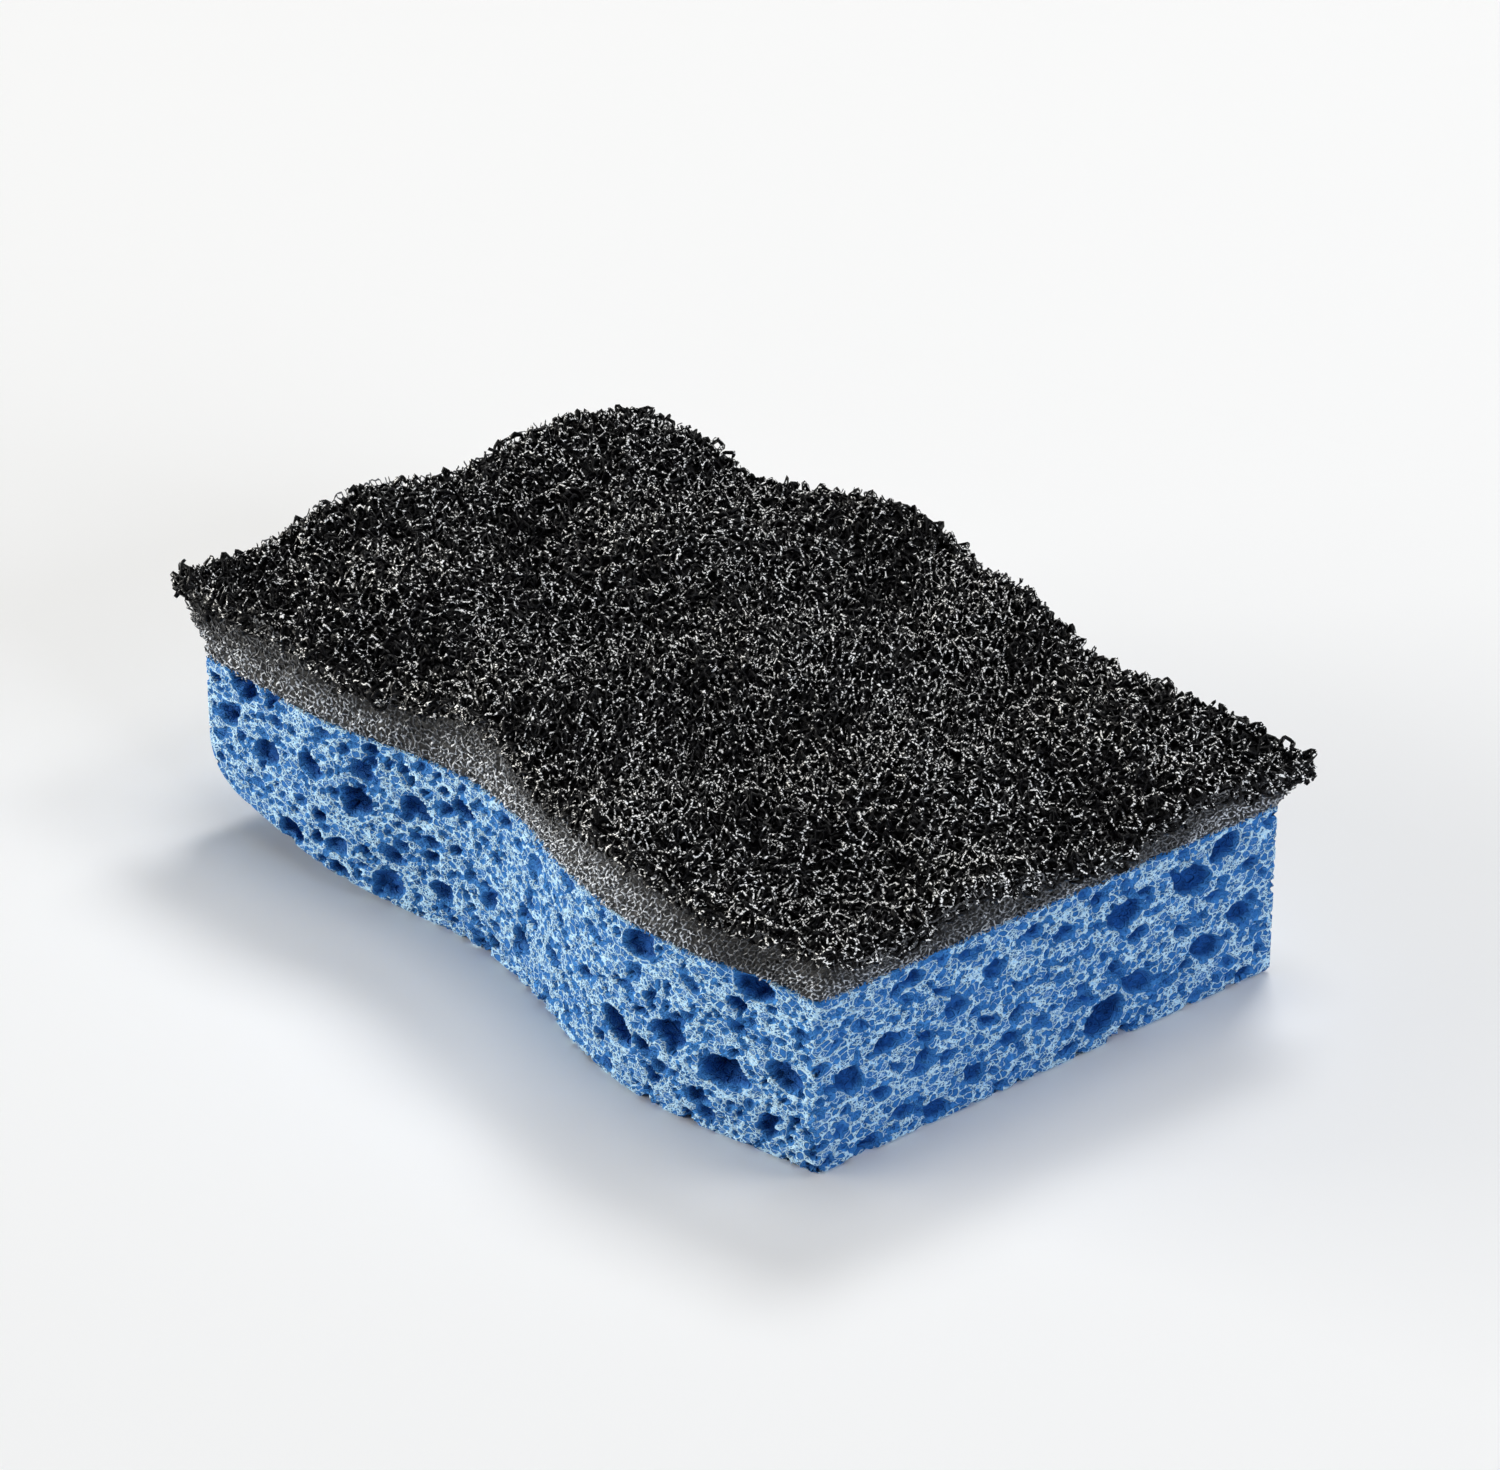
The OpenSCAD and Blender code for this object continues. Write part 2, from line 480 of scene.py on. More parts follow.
def make_piece(name: str, grown: Grown, material: bpy.types.Material) -> bpy.types.Object:
    """Makes one smooth piece from its points and faces, at the origin and in metres.

    Args:
        name: The piece's name.
        grown: Its points, faces and numbers.
        material: Its finish.

    Returns:
        The new object, which rides on the sponge's one body.
    """
    mesh = bpy.data.meshes.new(name)
    counts = np.concatenate([np.full(len(part), part.shape[1], np.int32) for part in grown.faces])
    corners = np.concatenate([part.reshape(-1) for part in grown.faces]).astype(np.int32)
    starts = np.concatenate([[0], np.cumsum(counts)[:-1]]).astype(np.int32)
    mesh.vertices.add(len(grown.points))
    mesh.vertices.foreach_set("co", (grown.points * METRE).astype(np.float32).reshape(-1))
    mesh.loops.add(len(corners))
    mesh.loops.foreach_set("vertex_index", corners)
    mesh.polygons.add(len(counts))
    mesh.polygons.foreach_set("loop_start", starts)
    mesh.polygons.foreach_set("loop_total", counts)
    mesh.polygons.foreach_set("use_smooth", np.ones(len(counts), bool))
    for label, values in grown.numbers.items():
        attribute = mesh.attributes.new(label, "FLOAT", "POINT")
        attribute.data.foreach_set("value", values.astype(np.float32))
    mesh.update(calc_edges=True)
    mesh.validate()
    mesh.materials.append(material)
    piece = bpy.data.objects.new(name, mesh)
    bpy.context.scene.collection.objects.link(piece)
    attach(piece, BODY)
    return piece


@dataclass(frozen=True)
class Ring:
    """The outline's columns, counter-clockwise from the front left corner."""

    columns_l: int
    columns_w: int

    @property
    def count(self) -> int:
        """Columns all round."""
        return 2 * (self.columns_l + self.columns_w)

    def uv(self) -> tuple[np.ndarray, np.ndarray]:
        """The columns' places on the edge of the square of u and v from -1 to 1.

        Returns:
            The u and the v of each column.
        """
        long_way = np.linspace(-1, 1, self.columns_l, endpoint=False)
        short_way = np.linspace(-1, 1, self.columns_w, endpoint=False)
        ones_l, ones_w = np.ones(self.columns_l), np.ones(self.columns_w)
        u = np.concatenate([long_way, ones_w, -long_way, -ones_w])
        v = np.concatenate([-ones_l, short_way, ones_l, -short_way])
        return u, v

    def stretches(self) -> list[np.ndarray]:
        """The indices of the columns along the front, right, back and left, ends included."""
        starts = np.cumsum([0, self.columns_l, self.columns_w, self.columns_l, self.columns_w])
        return [np.arange(a, b + 1) % self.count for a, b in zip(starts[:-1], starts[1:])]


def round_corners(rows: np.ndarray, reach: int) -> np.ndarray:
    """Closed rows of points, each smoothed along itself by a cosine window.

    Straight stretches stay as they are, and the corners are rounded off.

    Args:
        rows: Points, with one closed row for each first index.
        reach: How many points the window reaches each way.

    Returns:
        The smoothed rows.
    """
    window = np.hanning(2 * reach + 3)[1:-1]
    window /= window.sum()
    total = np.zeros_like(rows)
    for shift, weight in zip(range(-reach, reach + 1), window):
        total += weight * np.roll(rows, shift, axis=1)
    return total


def grid_outward(points: np.ndarray, closed: bool) -> np.ndarray:
    """Outward direction on a grid: its step along the second index crossed with the first's.

    Args:
        points: Points on a grid.
        closed: Whether the grid closes along its second index.

    Returns:
        One direction for each point.
    """
    if closed:
        across = np.roll(points, -1, axis=1) - np.roll(points, 1, axis=1)
    else:
        across = np.gradient(points, axis=1)
    return unit(np.cross(across, np.gradient(points, axis=0)))


def ring_outward(rows: np.ndarray) -> np.ndarray:
    """Level outward direction at each point of closed rows: their heading turned clockwise."""
    along = np.roll(rows, -1, axis=1) - np.roll(rows, 1, axis=1)
    return unit(np.stack([along[..., 1], -along[..., 0], np.zeros(along.shape[:-1])], axis=-1))


def leaning_rows(low: np.ndarray, high: np.ndarray, steps: int, reach: int) -> np.ndarray:
    """Closed rows in even steps straight from a lower outline to an upper one, corners rounded."""
    share = np.linspace(0, 1, steps + 1)[:, None, None]
    return round_corners(low * (1 - share) + high * share, reach)


def wall_faces(rows: int, columns: int) -> np.ndarray:
    """Outward quads between closed rows of points, the lowest row first.

    Args:
        rows: Number of rows.
        columns: Number of points in each.

    Returns:
        Each quad's four indices.
    """
    r, c = np.meshgrid(np.arange(rows - 1), np.arange(columns), indexing="ij")
    a, b = r * columns + c, r * columns + (c + 1) % columns
    return np.stack([a, b, b + columns, a + columns], axis=-1).reshape(-1, 4)


def zip_rows(outer: np.ndarray, inner: np.ndarray) -> np.ndarray:
    """Triangles between an outer row of points and an inner one with fewer points.

    Each step of the outer row points at its nearest inner point, and each step of the inner
    row is closed at the outer point where that nearest point changes.

    Args:
        outer: Indices along the outer row, with the inner row on its left.
        inner: Indices along the inner row, the same way.

    Returns:
        The triangles, facing the side from which the inner row lies on the left.
    """
    steps, last = len(outer) - 1, len(inner) - 1
    near = np.clip(np.floor((np.arange(steps) + 0.5) / steps * last + 0.5).astype(int), 0, last)
    fans = np.stack([outer[:-1], outer[1:], inner[near]], axis=-1)
    turn = np.nonzero(np.diff(near))[0]
    closers = np.stack([outer[turn + 1], inner[near[turn + 1]], inner[near[turn]]], axis=-1)
    faces = np.concatenate([fans, closers])
    whole = (faces != np.roll(faces, 1, axis=1)).all(axis=1)
    return faces[whole]


def cap_grid(cells_l: int, cells_w: int) -> tuple[np.ndarray, np.ndarray]:
    """The inner points of a cap's grid, as u and v."""
    u, v = np.linspace(-1, 1, cells_l + 1)[1:-1], np.linspace(-1, 1, cells_w + 1)[1:-1]
    return np.meshgrid(u, v, indexing="ij")


def cap_faces(ring: Ring, rim: int, first: int, shape: tuple[int, int], side: Side) -> list[np.ndarray]:
    """Faces of a cap: quads between its inner points, and triangles out to its rim.

    Args:
        ring: The rim's columns.
        rim: Index of the rim's first point.
        first: Index of the cap's first inner point.
        shape: Number of inner points along the sponge and across it.
        side: Which way the cap faces.

    Returns:
        The quads and the triangles.
    """
    index = first + np.arange(shape[0] * shape[1]).reshape(shape)
    corners = [index[:-1, :-1], index[1:, :-1], index[1:, 1:], index[:-1, 1:]]
    quads = np.stack(corners, axis=-1).reshape(-1, 4)
    inner_rows = [index[:, 0], index[-1, :], index[::-1, -1], index[0, ::-1]]
    strips = []
    for outer, row in zip(ring.stretches(), inner_rows):
        strips.append(zip_rows(rim + outer, np.concatenate([row[:1], row, row[-1:]])))
    triangles = np.concatenate(strips)
    if side is Side.LOWER:
        return [quads[:, ::-1], triangles[:, ::-1]]
    return [quads, triangles]


def closed_skin(ring: Ring, wall: np.ndarray, under: np.ndarray, over: np.ndarray) -> Grown:
    """A closed mesh: a wall of rows, and two caps that meet its lowest and its highest row.

    Args:
        ring: The wall's columns.
        wall: The wall's points, the lowest row first.
        under: The lower cap's inner points, as a grid of u and v.
        over: The upper cap's inner points, the same way.

    Returns:
        The mesh, with its points in that order.
    """
    first_under = len(wall) * ring.count
    first_over = first_under + under[..., 0].size
    faces = [wall_faces(len(wall), ring.count)]
    faces += cap_faces(ring, 0, first_under, under.shape[:2], Side.LOWER)
    faces += cap_faces(ring, first_under - ring.count, first_over, over.shape[:2], Side.UPPER)
    points = np.concatenate([part.reshape(-1, 3) for part in (wall, under, over)])
    return Grown(points, faces, {})


# Bubbles that are cut open by a surface


@dataclass(frozen=True)
class Bubbles:
    """A froth of flattened bubbles, one in each cell of a jittered lattice."""

    size: float
    flat: float
    radius_min: float
    radius_max: float
    chance: float
    deepest: float
    seed: int

    def cut(self, points: np.ndarray, inward: np.ndarray) -> tuple[np.ndarray, np.ndarray]:
        """How far inwards each point goes to leave the bubble that holds it.

        In the bubble's own scale, the point and the inward ray meet its unit sphere where
        the squared distance is 1, and the depth is the larger root, eased near the rim.

        Args:
            points: Points on the surface.
            inward: The way in at each.

        Returns:
            The depth at each point, 0 where it lies in no bubble, and how far inside a
            bubble it is: 1 at a middle, 0 on a rim and below 0 outside.
        """
        cell = np.array([self.size, self.size, self.size * self.flat])
        home = np.floor(points / cell)
        depth = np.zeros(points.shape[:-1])
        inner = np.full(points.shape[:-1], -1.0)
        for corner in np.ndindex(3, 3, 3):
            at = home + np.array(corner) - 1
            shift = np.stack([cell_random(at, self.seed + axis) for axis in range(3)], axis=-1)
            share = cell_random(at, self.seed + 3)
            radius = self.radius_min + (self.radius_max - self.radius_min) * share**2
            there = cell_random(at, self.seed + 4) < self.chance
            spread = cell * radius[..., None]
            offset = (points - (at + shift) * cell) / spread
            ray = inward / spread
            square = (ray * ray).sum(-1)
            half = (ray * offset).sum(-1)
            inside = 1 - (offset * offset).sum(-1)
            root = np.sqrt(np.maximum(half * half + square * inside, 0))
            way = np.where(there & (inside > 0), (root - half) / square, 0)
            depth = np.maximum(depth, way * np.clip(RIM_FALL * inside, 0, 1))
            inner = np.maximum(inner, np.where(there, inside, -1.0))
        return np.minimum(depth, self.deepest), inner


def pore_cut(pores: list[Pore], form: Form, points: np.ndarray) -> tuple[np.ndarray, np.ndarray]:
    """Depth of the wide pores at each point of the skin: flattened half ellipsoids.

    Args:
        pores: The pores.
        form: The form that they belong to.
        points: Points on the skin.

    Returns:
        The depth at each point, 0 where it lies in no pore, and how far inside a pore it is:
        1 at a middle, 0 on a rim and below 0 outside.
    """
    depth = np.zeros(points.shape[:-1])
    inner = np.full(points.shape[:-1], -1.0)
    for pore in pores:
        up = np.cross(pore.along, pore.outward)
        offset = points - pore.middle
        near = np.abs(offset).max(-1) < pore.width
        part = offset[near]
        a = part @ (pore.along * math.cos(pore.spin) + up * math.sin(pore.spin))
        b = part @ (up * math.cos(pore.spin) - pore.along * math.sin(pore.spin))
        round_share = (a / (pore.width / 2)) ** 2 + (b / (form.pore_flat * pore.width / 2)) ** 2
        on_wall = np.abs(part @ pore.outward) < form.pore_deep * pore.width
        reach = pore.deep * pore.width * np.sqrt(np.clip(1 - round_share, 0, 1))
        depth[near] = np.maximum(depth[near], np.where(on_wall, reach, 0))
        inner[near] = np.maximum(inner[near], np.where(on_wall, 1 - round_share, -1.0))
    return depth, inner


# The pieces


class Carved(NamedTuple):
    """A skin sunk into its pores: its points, their depth and how far inside a pore they are."""

    points: np.ndarray
    hollow: np.ndarray
    inner: np.ndarray


@dataclass
class CelluloseBlock:
    """The blue block: a wall and an underside cut through a froth of bubbles."""

    form: Form
    column_step: float = 0.34
    row_step: float = 0.33
    cap_step: float = 0.74
    corner_reach: int = 1
    edge_round: float = 0.7
    top_hold: float = 1.2
    top_held: float = 0.75
    top_cells: tuple[int, int] = (24, 15)
    warp: Wander = Wander(0.4, 2.3, 71)
    froths: tuple[Bubbles, ...] = (
        Bubbles(size=3.6, flat=0.6, radius_min=0.22, radius_max=0.46, chance=0.5, deepest=1.5, seed=11),
        Bubbles(size=2.0, flat=0.65, radius_min=0.28, radius_max=0.5, chance=0.8, deepest=0.9, seed=31),
        Bubbles(size=1.2, flat=0.7, radius_min=0.3, radius_max=0.5, chance=0.85, deepest=0.5, seed=51),
    )

    def carve(self, points: np.ndarray, outward: np.ndarray, pores: list[Pore], hold: np.ndarray) -> Carved:
        """Sinks the points into the wide pores and then into each froth.

        Args:
            points: Points on the skin.
            outward: Outward direction at each.
            pores: The wide pores.
            hold: From 0, held on the skin, to 1, free to sink.

        Returns:
            The sunk skin, with the same shape.
        """
        bent = points + self.warp.shift(points)
        depth, inner = pore_cut(pores, self.form, bent)
        depth = depth * hold
        for froth in self.froths:
            step, inside = froth.cut(bent - outward * depth[..., None], -outward)
            depth = depth + step * hold
            inner = np.maximum(inner, inside)
        return Carved(points - outward * depth[..., None], depth, inner)

    def grow(self) -> Grown:
        """The block's closed mesh.

        The wall is rows of the outline from the underside to the top, and the underside and
        the hidden top are grids of u and v that meet its first and last row.

        Returns:
            The mesh, with each point's depth and how far inside an opening it is.
        """
        form, scatter = self.form, PoreScatter(self.form)
        ring = Ring(*form.cells(self.column_step))
        u, v = ring.uv()
        shares = np.linspace(0, 1, round(form.block_h / self.row_step) + 1)
        under = np.clip(self.edge_round - shares * form.block_h, 0, None)
        tucks = self.edge_round - np.sqrt(self.edge_round**2 - under**2)
        rows = np.stack([form.side(u, v, share, tuck) for share, tuck in zip(shares, tucks)])
        rows = round_corners(rows, self.corner_reach)
        hold = 1 - self.top_held * ramp(rows[..., 2], form.block_h - self.top_hold, form.block_h)
        wall = self.carve(rows, grid_outward(rows, True), scatter.on_sides() + scatter.on_ends(), hold)

        cap_u, cap_v = cap_grid(*form.cells(self.cap_step))
        flat = form.side(cap_u, cap_v, 0.0)
        base = self.carve(flat, grid_outward(flat, False), scatter.on_base(), np.ones(cap_u.shape))
        top_u, top_v = cap_grid(*self.top_cells)
        top = Carved(form.side(top_u, top_v, 1.0), np.zeros(top_u.shape), np.full(top_u.shape, -1.0))

        grown = closed_skin(ring, wall.points, base.points, top.points)
        hollow = np.concatenate([part.hollow.reshape(-1) for part in (wall, base, top)])
        inner = np.concatenate([part.inner.reshape(-1) for part in (wall, base, top)])
        return Grown(grown.points, grown.faces, {"hollow": hollow, "inner": inner})

    def build(self, material: bpy.types.Material) -> bpy.types.Object:
        """Args:
            material: Its finish.

        Returns:
            The piece.
        """
        piece = make_piece("sponge", self.grow(), material)
        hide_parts("sponge_block")
        return piece


@dataclass
class FoamPad:
    """The grey pad's core: a leaning wall and a rippled top, finely pitted."""

    form: Form
    column_step: float = 0.42
    rows: int = 20
    corner_reach: int = 3
    inset: float = 0.35
    cap_cells: tuple[int, int] = (96, 60)
    warp: Wander = Wander(0.2, 0.9, 81)
    swell: Wander = Wander(0.25, 4.0, 95)
    pits: Bubbles = Bubbles(
        size=0.95, flat=0.9, radius_min=0.4, radius_max=0.6, chance=0.9, deepest=0.5, seed=91)

    def grow(self) -> Grown:
        """The pad's closed mesh: rows from the block's top to the crust, and two caps.

        Returns:
            The mesh.
        """
        form = self.form
        ring = Ring(*form.cells(self.column_step))
        u, v = ring.uv()
        low, high = form.side(u, v, 1.0, self.inset), form.crest(u, v, inset=self.inset)
        rows = leaning_rows(low, high, self.rows, self.corner_reach)
        outward = ring_outward(rows)
        depth = self.pits.cut(rows + self.warp.shift(rows), -outward)[0]
        wall = rows + outward * (self.swell.at(rows) - depth)[..., None]
        cap_u, cap_v = cap_grid(*self.cap_cells)
        return closed_skin(ring, wall, form.side(cap_u, cap_v, 1.0), form.crest(cap_u, cap_v))

    def build(self, material: bpy.types.Material) -> bpy.types.Object:
        """Args:
            material: Its finish.

        Returns:
            The piece.
        """
        piece = make_piece("foam", self.grow(), material)
        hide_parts("foam_pad")
        return piece


@dataclass
class CrustBed:
    """The crust's dark bed under its struts: a lumpy, pitted slab on the pad's ripples."""

    form: Form
    step: float = 0.42
    rows: int = 4
    corner_reach: int = 3
    thickness: float = 1.0
    rim_low: float = 0.3
    rim_high: float = 0.7
    under_cells: tuple[int, int] = (96, 60)
    bulge: Wander = Wander(0.5, 1.3, 131)
    bumps: Wander = Wander(0.35, 1.1, 137)
    pits: Bubbles = Bubbles(
        size=1.5, flat=1.0, radius_min=0.35, radius_max=0.55, chance=0.9, deepest=1.0, seed=141)

    def grow(self) -> Grown:
        """The bed's closed mesh: a fine grid of u and v above, a coarse one below.

        Its wall bulges by noise times a sine of the height, so that both its edges stay put.

        Returns:
            The mesh.
        """
        form = self.form
        cells = form.cells(self.step, flared=True)
        ring = Ring(*cells)
        u, v = ring.uv()
        low, high = form.crest(u, v, inset=self.rim_low), form.crest(u, v, self.thickness, self.rim_high)
        rows = leaning_rows(low, high, self.rows, self.corner_reach)
        swell = np.sin(np.pi * np.linspace(0, 1, self.rows + 1))[:, None]
        wall = rows + ring_outward(rows) * (self.bulge.at(rows) * swell)[..., None]
        cap_u, cap_v = cap_grid(*cells)
        top = form.crest(cap_u, cap_v, self.thickness, self.rim_high)
        lumps = form.lump(cap_u, cap_v) + form.rough(top[..., 0], top[..., 1]) + self.bumps.at(top)
        down = np.broadcast_to(np.array([0.0, 0.0, -1.0]), top.shape)
        top[..., 2] += lumps - self.pits.cut(top, down)[0]
        return closed_skin(ring, wall, form.crest(*cap_grid(*self.under_cells)), top)

    def build(self, material: bpy.types.Material) -> bpy.types.Object:
        """Args:
            material: Its finish.

        Returns:
            The piece.
        """
        piece = make_piece("crust_bed", self.grow(), material)
        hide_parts("grit_coat")
        return piece


class Placed(NamedTuple):
    """Where a net's points lie: the point, the way out of the surface, and whether it is kept.

    The shine is how much more or less than usual a node there is likely to carry pale grit,
    which is partly painted glints; on the crust it holds a painted rise of glints to the right.
    """

    point: np.ndarray
    outward: np.ndarray
    kept: np.ndarray
    shine: np.ndarray


class Family(NamedTuple):
    """One of the three ways in which struts run between two nodes of a net.

    It holds the step from the first node to the second, and which of each node's points are
    the corners on the strut's left and right.
    """

    step_i: int
    step_j: int
    left_a: int
    right_a: int
    left_b: int
    right_b: int


FAMILIES = (Family(0, 0, 4, 3, 4, 2), Family(1, 0, 2, 4, 2, 3), Family(0, 1, 3, 2, 3, 4))


@dataclass(frozen=True)
class StrutNet:
    """A net of struts round irregular cells, as in an open foam.

    The cells sit on a sheared triangular lattice, pushed about at random. A node stands at
    the middle of each three neighbouring cells, and a strut joins each two nodes that share
    two cells. A strut's section is a diamond: a ridge above, a keel below and a corner
    towards each of its two cells.
    """

    pitch: float
    half_width: float
    half_height: float
    jitter: float
    lift: float
    missing: float
    seed: int
    # Share of nodes with pale grit on their ridge, partly painted glints.
    bright: float = 0.0
    bulk: Span = (0.6, 1.7)
    # How much pale grit, partly painted glints, such a node carries.
    glow: Span = (0.35, 1.0)

    def grow(self, place: Callable[[np.ndarray, np.ndarray], Placed], span_p: Span, span_q: Span,
             closed: bool) -> Grown:
        """The net's closed mesh over a surface with the coordinates p and q.

        Args:
            place: Gives the surface at p and q.
            span_p: Least and greatest p, which meet where the net is closed.
            span_q: Least and greatest q.
            closed: Whether the net runs round and meets itself.

        Returns:
            The mesh, with each point's share of pale grit, partly painted glints.
        """
        rng = np.random.default_rng(self.seed)
        rise = self.pitch * math.sqrt(3) / 2
        rows = int((span_q[1] - span_q[0]) / rise) + 4
        lean = 0 if closed else int(rows / 2) + 2
        columns = round((span_p[1] - span_p[0]) / self.pitch) + (0 if closed else lean + 4)
        pitch = (span_p[1] - span_p[0]) / columns if closed else self.pitch
        i, j = np.meshgrid(np.arange(columns), np.arange(rows), indexing="ij")
        cells = np.stack([span_p[0] + (i + j / 2 - lean - 1) * pitch, span_q[0] + (j - 1.5) * rise], axis=-1)
        cells += rng.uniform(-1, 1, cells.shape) * self.jitter * self.pitch
        if closed:
            cells = np.concatenate([cells, cells[:1] + np.array([columns * pitch, 0])])
        c00, c10, c01, c11 = cells[:-1, :-1], cells[1:, :-1], cells[:-1, 1:], cells[1:, 1:]
        first = np.stack([c00, c10, c01], axis=2)
        second = np.stack([c10, c11, c01], axis=2)
        around = np.stack([first, second])
        nodes = around.mean(axis=3)
        bulk = rng.uniform(*self.bulk, nodes.shape[:-1])
        lift = rng.normal(0, self.lift, nodes.shape[:-1])
        lift = np.clip(lift, -2 * self.lift, 2 * self.lift)
        middle = place(nodes[..., 0], nodes[..., 1])
        core = middle.point + middle.outward * lift[..., None]
        half = middle.outward * (self.half_height * bulk)[..., None]
        toward = around - nodes[..., None, :]
        corner = nodes[..., None, :] + unit(toward) * (self.half_width * bulk)[..., None, None]
        edge = place(corner[..., 0], corner[..., 1])
        corners = edge.point + edge.outward * lift[..., None, None]
        points = np.concatenate([(core + half)[..., None, :], (core - half)[..., None, :], corners], axis=-2)
        # Pale grit on the ridges of some nodes: partly real grit, partly painted glints.
        glow = np.zeros(points.shape[:-1])
        with_grit_and_glint = rng.random(nodes.shape[:-1]) < self.bright * middle.shine
        glow[..., 0] = with_grit_and_glint * rng.uniform(*self.glow, nodes.shape[:-1])
        return self.join(points, glow, middle.kept, rng, closed)

    def join(self, points: np.ndarray, glow: np.ndarray, kept: np.ndarray, rng: np.random.Generator,
             closed: bool) -> Grown:
        """Faces of the struts between the nodes, and caps where a strut is missing.

        Args:
            points: Two sets of nodes, each node's ridge, keel and three corners.
            glow: The same points' share of pale grit, partly painted glints.
            kept: Which nodes are kept.
            rng: Picks the missing struts.
            closed: Whether the net meets itself along its first index.

        Returns:
            The mesh, without its unused points.
        """
        index = np.arange(kept.size).reshape(kept.shape) * NODE_POINTS
        node_a, kept_a = index[0], kept[0]
        degree = np.zeros(kept.size, int)
        runs = []
        for family in FAMILIES:
            step = (family.step_i, family.step_j)
            node_b = np.roll(index[1], step, (0, 1))
            kept_b = np.roll(kept[1], step, (0, 1)).copy()
            if family.step_i and not closed:
                kept_b[0] = False
            if family.step_j:
                kept_b[:, 0] = False
            there = kept_a & kept_b & (rng.random(kept_a.shape) >= self.missing)
            np.add.at(degree, node_a[there] // NODE_POINTS, 1)
            np.add.at(degree, node_b[there] // NODE_POINTS, 1)
            runs.append((family, node_b, there))
        quads = []
        for family, node_b, there in runs:
            s, e = node_a[there], node_b[there]
            quads += [
                np.stack([s, s + family.right_a, e + family.right_b, e], axis=-1),
                np.stack([e, e + family.left_b, s + family.left_a, s], axis=-1),
                np.stack([s + 1, e + 1, e + family.right_b, s + family.right_a], axis=-1),
                np.stack([e + 1, s + 1, s + family.left_a, e + family.left_b], axis=-1),
            ]
            s, e = node_a[~there], node_b[~there]
            s, e = s[degree[s // NODE_POINTS] > 0], e[degree[e // NODE_POINTS] > 0]
            quads += [
                np.stack([s, s + family.right_a, s + 1, s + family.left_a], axis=-1),
                np.stack([e, e + family.left_b, e + 1, e + family.right_b], axis=-1),
            ]
        faces = np.concatenate(quads)
        used, compact = np.unique(faces, return_inverse=True)
        flat_points, flat_glow = points.reshape(-1, 3), glow.reshape(-1)
        return Grown(flat_points[used], [compact.reshape(faces.shape)], {"grit_and_glint": flat_glow[used]})


@dataclass
class FoamNet:
    """The pad's open skin: fine grey struts all round its wall."""

    form: Form
    net: StrutNet
    column_step: float = 0.5
    corner_reach: int = 3
    lap: float = 1.5
    stretch: float = 1.4
    swell: Wander = Wander(0.3, 4.0, 95)

    def build(self, material: bpy.types.Material) -> bpy.types.Object:
        """Builds the net round the pad's wall, from the block's top edge to the crust's rim.

        Args:
            material: Its finish.

        Returns:
            The piece.
        """
        form = self.form
        ring = Ring(*form.cells(self.column_step))
        u, v = ring.uv()
        ends = round_corners(np.stack([form.side(u, v, 1.0), form.crest(u, v)]), self.corner_reach)
        turn = ring_outward(ends).mean(axis=0)
        steps = np.linalg.norm(np.roll(ends[0], -1, axis=0) - ends[0], axis=-1)
        along = np.concatenate([[0], np.cumsum(steps)])

        def follow(values: np.ndarray, p: np.ndarray) -> np.ndarray:
            """The columns' values drawn straight from one to the next, at p along the foot."""
            closed = np.concatenate([values, values[:1]])
            return np.stack([np.interp(p % along[-1], along, closed[:, axis]) for axis in range(3)], axis=-1)

        def place(p: np.ndarray, q: np.ndarray) -> Placed:
            """The wall at p along its foot and q up it, on a straight line from foot to rim.

            Args:
                p: Place along the wall's foot.
                q: Place up the wall.

            Returns:
                The points, the way out of the wall and which are kept.
            """
            low, high = follow(ends[0], p), follow(ends[1], p)
            share = (q * self.stretch / (high - low)[..., 2])[..., None]
            point = low + (high - low) * share
            outward = unit(follow(turn, p))
            point = point + outward * self.swell.at(point)[..., None]
            kept = (q > 0) & (share[..., 0] < 1 + self.lap / form.pad_h)
            return Placed(point, outward, kept, np.ones(kept.shape))

        top_q = (float((ends[1] - ends[0])[:, 2].max()) + self.lap) / self.stretch
        grown = self.net.grow(place, (0.0, float(along[-1])), (0.0, top_q), True)
        piece = make_piece("foam_net", grown, material)
        return piece


